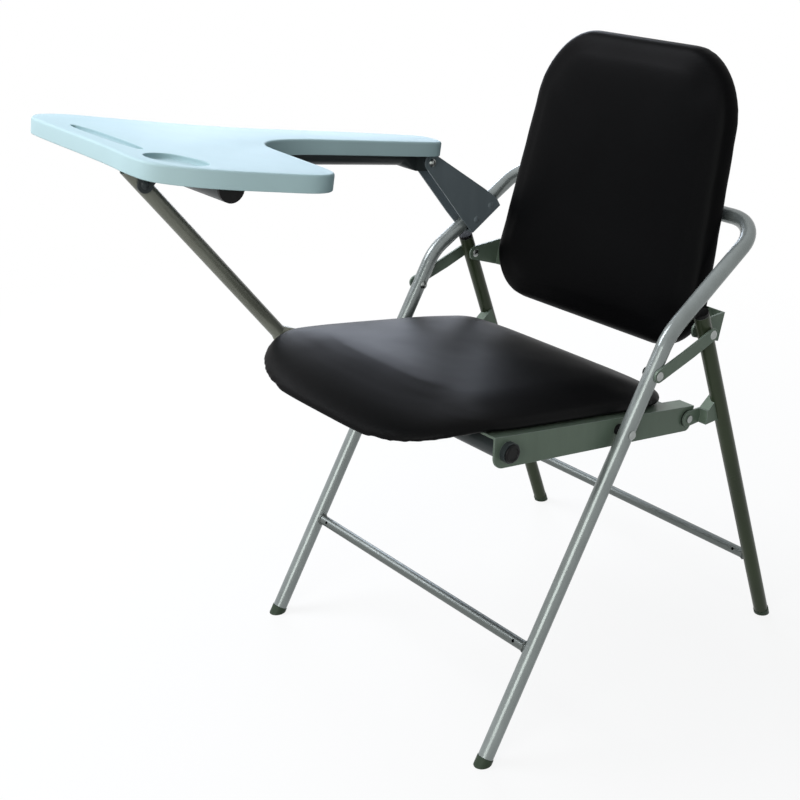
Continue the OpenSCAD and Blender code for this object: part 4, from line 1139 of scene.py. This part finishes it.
@dataclass
class Frame:
    """Tubes, plates, pins and plugs of the frame, from the CAD nodes and small turned pieces.

    The soft edges give a bevel's width for nodes, and the coats give a finish for nodes.
    """

    nodes: dict[str, Object]
    bevel_angle: float = 38.0
    plug_gap: float = 0.0006
    plug_length: float = 0.010
    plug_head: float = 0.0029
    plug_dish: float = 0.0022
    plug_smooth: float = 40.0
    weld_bead: float = 0.0014
    weld_sink: float = 0.0035
    weld_steps: int = 64
    weld_sides: int = 8
    weld_smooth: float = 80.0
    soft_edges: tuple[tuple[float, str], ...] = (
        (0.0004, "bracket_bolt bracket_nut"),
        (0.0005, "seat_rail_left seat_rail_right"),
        (0.0006, "link_left link_right back_ear_left back_ear_right link_pins link_rivets"),
        (0.0006, "seat_pivot_pins rear_pivot_pins back_pins strut_rivet bracket_rivets"),
        (0.0008, "tablet_bracket back_pads"),
        (0.0010, "front_feet rear_feet"),
        (0.0016, "rear_leg_caps"),
        (0.0020, "arm_cap"),
    )
    coats: tuple[tuple[Finish, str], ...] = (
        (Finishes.frame, "front_frame"),
        # The rear legs get the shaded copy of the frame paint.
        (Finishes.rear, "rear_leg_left rear_leg_right"),
        (Finishes.bar, "front_crossbar rear_crossbar"),
        (Finishes.foot, "front_feet rear_feet"),
        (Finishes.plug, "rear_leg_caps seat_tube_caps arm_cap arm_bush seat_pivot_bushes rear_pivot_washers"),
        (Finishes.sheet, "rear_lugs link_left link_right seat_rail_left seat_rail_right seat_rear_stay"),
        (Finishes.sheet, "back_ear_left back_ear_right"),
        (Finishes.rivet, "link_pins link_rivets seat_screws seat_pivot_pins rear_pivot_pins back_screws"),
        (Finishes.rivet, "back_pins bracket_bolt bracket_nut tablet_screws"),
        (Finishes.dark, "tablet_bracket bracket_rivets"),
        (Finishes.arm, "tablet_arm strut_lug strut_rivet seat_front_tube"),
        (Finishes.strut, "strut_tube"),
        (Finishes.plywood, "seat_board"),
        (Finishes.pad, "back_pads"),
        (Finishes.leather, "seat_cushion back_cushion"),
        (Finishes.back_shell, "back_board"),
        (Finishes.tablet, "tablet_board"),
    )

    def build(self) -> None:
        """Dress the CAD nodes, and build the turned plugs and the welds."""
        self.dress_nodes()
        self.plugs()
        self.welds()

    def dress_nodes(self) -> None:
        """Give every CAD node its finish, and the sheet and turned parts a soft edge."""
        coats, widths = by_node(self.coats), by_node(self.soft_edges)
        for name, obj in self.nodes.items():
            coats[name].dress(obj)
            if name in widths:
                modify(
                    obj, "BEVEL", width=widths[name], segments=2, limit_method="ANGLE",
                    angle_limit=radians(self.bevel_angle), harden_normals=True,
                )
            log.info("node %s: %s", name, coats[name].name)

    def plugs(self) -> None:
        """Domed plugs in the open tube ends."""
        low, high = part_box("seat_tube_caps")
        r = (high[1] - low[1]) / 2 - self.plug_gap
        head, dish = self.plug_head, self.plug_dish
        profile = [
            (r * 0.5, -self.plug_length), (r * 0.86, -self.plug_length), (r * 0.86, 0.0), (r, 0.0),
            (r, 0.0018), (r - 0.0006, 0.0026), (r - 0.0016, head), (r * 0.72, head), (r * 0.68, dish),
            (r * 0.3, dish), (r * 0.1, dish),
        ]
        bm = bmesh.new()
        for _, place in bar_ends("seat_tube_caps", head):
            lathe(bm, profile, place)
        obj = from_bmesh("seat_tube_plugs", bm, self.plug_smooth)
        place_piece(obj, Body.SEAT, Finishes.plug, ["seat_tube_caps"])

    def weld(self, name: str, body: Body, place: Matrix, radius: float) -> Object:
        """A weld bead: an uneven ring round a bar where it meets a tube.

        Args:
            name: The piece's name.
            body: The body it rides on.
            place: Its middle, with Z along the bar.
            radius: The bar's radius.

        Returns:
            The bead.
        """
        bm = bmesh.new()
        rings = []
        for i in range(self.weld_steps):
            a = tau * i / self.weld_steps
            uneven = 0.16 * sin(11 * a) + 0.12 * noise.noise(SEED_OFFSET + Vector((3 * a, 0, 0)))
            lump = self.weld_bead * (1 + uneven)
            out = Vector((cos(a), sin(a), 0.0))
            ring = []
            for k in range(self.weld_sides):
                b = tau * k / self.weld_sides
                ring.append(tuple(out * (radius + lump * cos(b)) + Vector((0, 0, lump * sin(b)))))
            rings.append(ring)
        ring_skin(bm, [*rings, rings[0]], close_ends=False)
        bmesh.ops.remove_doubles(bm, verts=bm.verts, dist=1e-6)
        bmesh.ops.transform(bm, matrix=place, verts=bm.verts)
        return place_piece(from_bmesh(name, bm, self.weld_smooth), body, Finishes.weld)

    def welds(self) -> None:
        """Beads where the crossbars meet the legs."""
        for node, body in (("front_crossbar", Body.FRONT), ("rear_crossbar", Body.REAR)):
            low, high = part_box(node)
            for side, place in bar_ends(node, self.weld_sink):
                self.weld(f"{node}_weld_{side}", body, place, (high[2] - low[2]) / 2)


# Studio


@dataclass(frozen=True)
class Lamp:
    """A soft square lamp: its place, side, power in watts and colour as seen on a display."""

    name: str
    at: Point3
    size: float
    watts: float
    tint: Colour

    def build(self, aim: Point3) -> None:
        """Build the lamp, turned towards a point."""
        data = bpy.data.lights.new(self.name, "AREA")
        data.size = self.size
        data.energy = self.watts
        data.color = linear(self.tint)[:3]
        lamp = new_object(self.name, data)
        lamp.location = self.at
        lamp.rotation_euler = (Vector(aim) - Vector(self.at)).to_track_quat("-Z", "Y").to_euler()


@dataclass
class Studio:
    """Floor, world, camera, and lamps: a key over the sitter's right, a fill and a low rear light.

    The sky holds a ramp's (place, colour) pairs, from below the chair to above it.
    """

    eye: Point3 = (1.2391, -1.0650, 1.0718)
    azimuth: float = 50.71
    look_down: float = 23.68
    lens: float = 60.2
    sensor: float = 36.0
    clip_end: float = 100.0
    world_light: float = 0.37
    sky: tuple[tuple[float, Linear], ...] = (
        (0.0, (0.07, 0.10, 0.07, 1.0)), (0.5, (0.31, 0.385, 0.37, 1.0)), (1.0, (0.90, 0.96, 1.0, 1.0)),
    )
    floor_reach: float = 30.0
    floor_roughness: float = 0.9
    floor_seen: Linear = (0.95, 0.95, 0.95, 1.0)
    floor_unseen: Linear = (0.34, 0.36, 0.34, 1.0)
    glow: Point2 = (0.86, 1.0)
    glow_reach: Point2 = (0.4, 1.8)
    lamp_aim: Point3 = (0.0, 0.0, 0.45)
    lamps: tuple[Lamp, ...] = (
        Lamp("key", (-1.6, -1.1, 2.4), 1.4, 57.0, (246, 248, 255)),
        Lamp("fill", (1.2, -2.8, 1.5), 1.8, 43.0, (252, 255, 250)),
        Lamp("sheen", (-1.85, 1.35, 1.2), 1.2, 25.0, (226, 236, 255)),
    )

    def seen_mask(self, graph: Graph) -> Wire:
        """1 for camera, glossy and transmission rays."""
        names = ("Is Camera Ray", "Is Glossy Ray", "Is Transmission Ray")
        camera, glossy, through = (graph.node("ShaderNodeLightPath", output=name) for name in names)
        return camera.at_least(glossy).at_least(through)

    def build(self) -> None:
        """Build the studio."""
        self.make_world()
        self.make_floor()
        for lamp in self.lamps:
            lamp.build(self.lamp_aim)
        self.make_camera()
        bpy.context.scene.view_settings.view_transform = "Standard"

    def make_world(self) -> None:
        """White where it is seen, softly graded where it lights the chair."""
        world = bpy.data.worlds.new("studio")
        bpy.context.scene.world = world
        world.use_nodes = True
        graph = Graph(world.node_tree)
        direction = graph.node("ShaderNodeTexCoord", output="Generated")
        up = graph.node("ShaderNodeSeparateXYZ", None, {0: direction}, "Z")
        sky = graph.node("ShaderNodeValToRGB", {"stops": self.sky}, {0: up * 0.5 + 0.5})
        colour = graph.mix(self.seen_mask(graph), sky, WHITE)
        strength = graph.between(self.seen_mask(graph), 0.0, 1.0, self.world_light, 1.0)
        background = graph.node("ShaderNodeBackground", None, {"Color": colour, "Strength": strength})
        graph.node("ShaderNodeOutputWorld", None, {"Surface": background})

    def make_floor(self) -> None:
        """A wide pale floor that keeps the chair's shadow and fades to white away from it."""
        bm = bmesh.new()
        bmesh.ops.create_grid(bm, x_segments=1, y_segments=1, size=self.floor_reach)
        floor = from_bmesh("studio_floor", bm)
        material = bpy.data.materials.new("floor_white")
        material.use_nodes = True
        graph = Graph(material.node_tree)
        seen = self.seen_mask(graph)
        tone = graph.mix(seen, self.floor_unseen, self.floor_seen)
        shader = graph.node("ShaderNodeBsdfPrincipled", None, {
            "Base Color": tone, "Roughness": self.floor_roughness, "Specular IOR Level": 0.0,
        })
        glow = graph.node("ShaderNodeEmission", None, {"Color": WHITE})
        away = graph.vector("LENGTH", {0: graph.place()}, "Value")
        share = seen * graph.between(away, *self.glow_reach, *self.glow)
        blend = graph.node("ShaderNodeMixShader", None, {0: share, 1: shader, 2: glow})
        graph.node("ShaderNodeOutputMaterial", None, {"Surface": blend})
        floor.data.materials.append(material)

    def make_camera(self) -> None:
        """The camera of the photograph."""
        data = bpy.data.cameras.new("camera")
        data.lens = self.lens
        data.sensor_width = self.sensor
        data.sensor_fit = "HORIZONTAL"
        data.clip_end = self.clip_end
        camera = new_object("camera", data)
        camera.location = self.eye
        camera.rotation_euler = (radians(90.0 - self.look_down), 0.0, radians(self.azimuth))
        bpy.context.scene.camera = camera


def main() -> None:
    """Dress the chair and set up the studio."""
    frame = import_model()
    layout = Layout(frame["joints"])
    Frame(frame["nodes"]).build()
    SeatCushion(layout).build()
    BackCushion(layout).build()
    Tablet(layout).build()
    Studio().build()


if __name__ == "__main__":
    logging.basicConfig(level=logging.INFO, format="%(name)s: %(message)s")
    main()
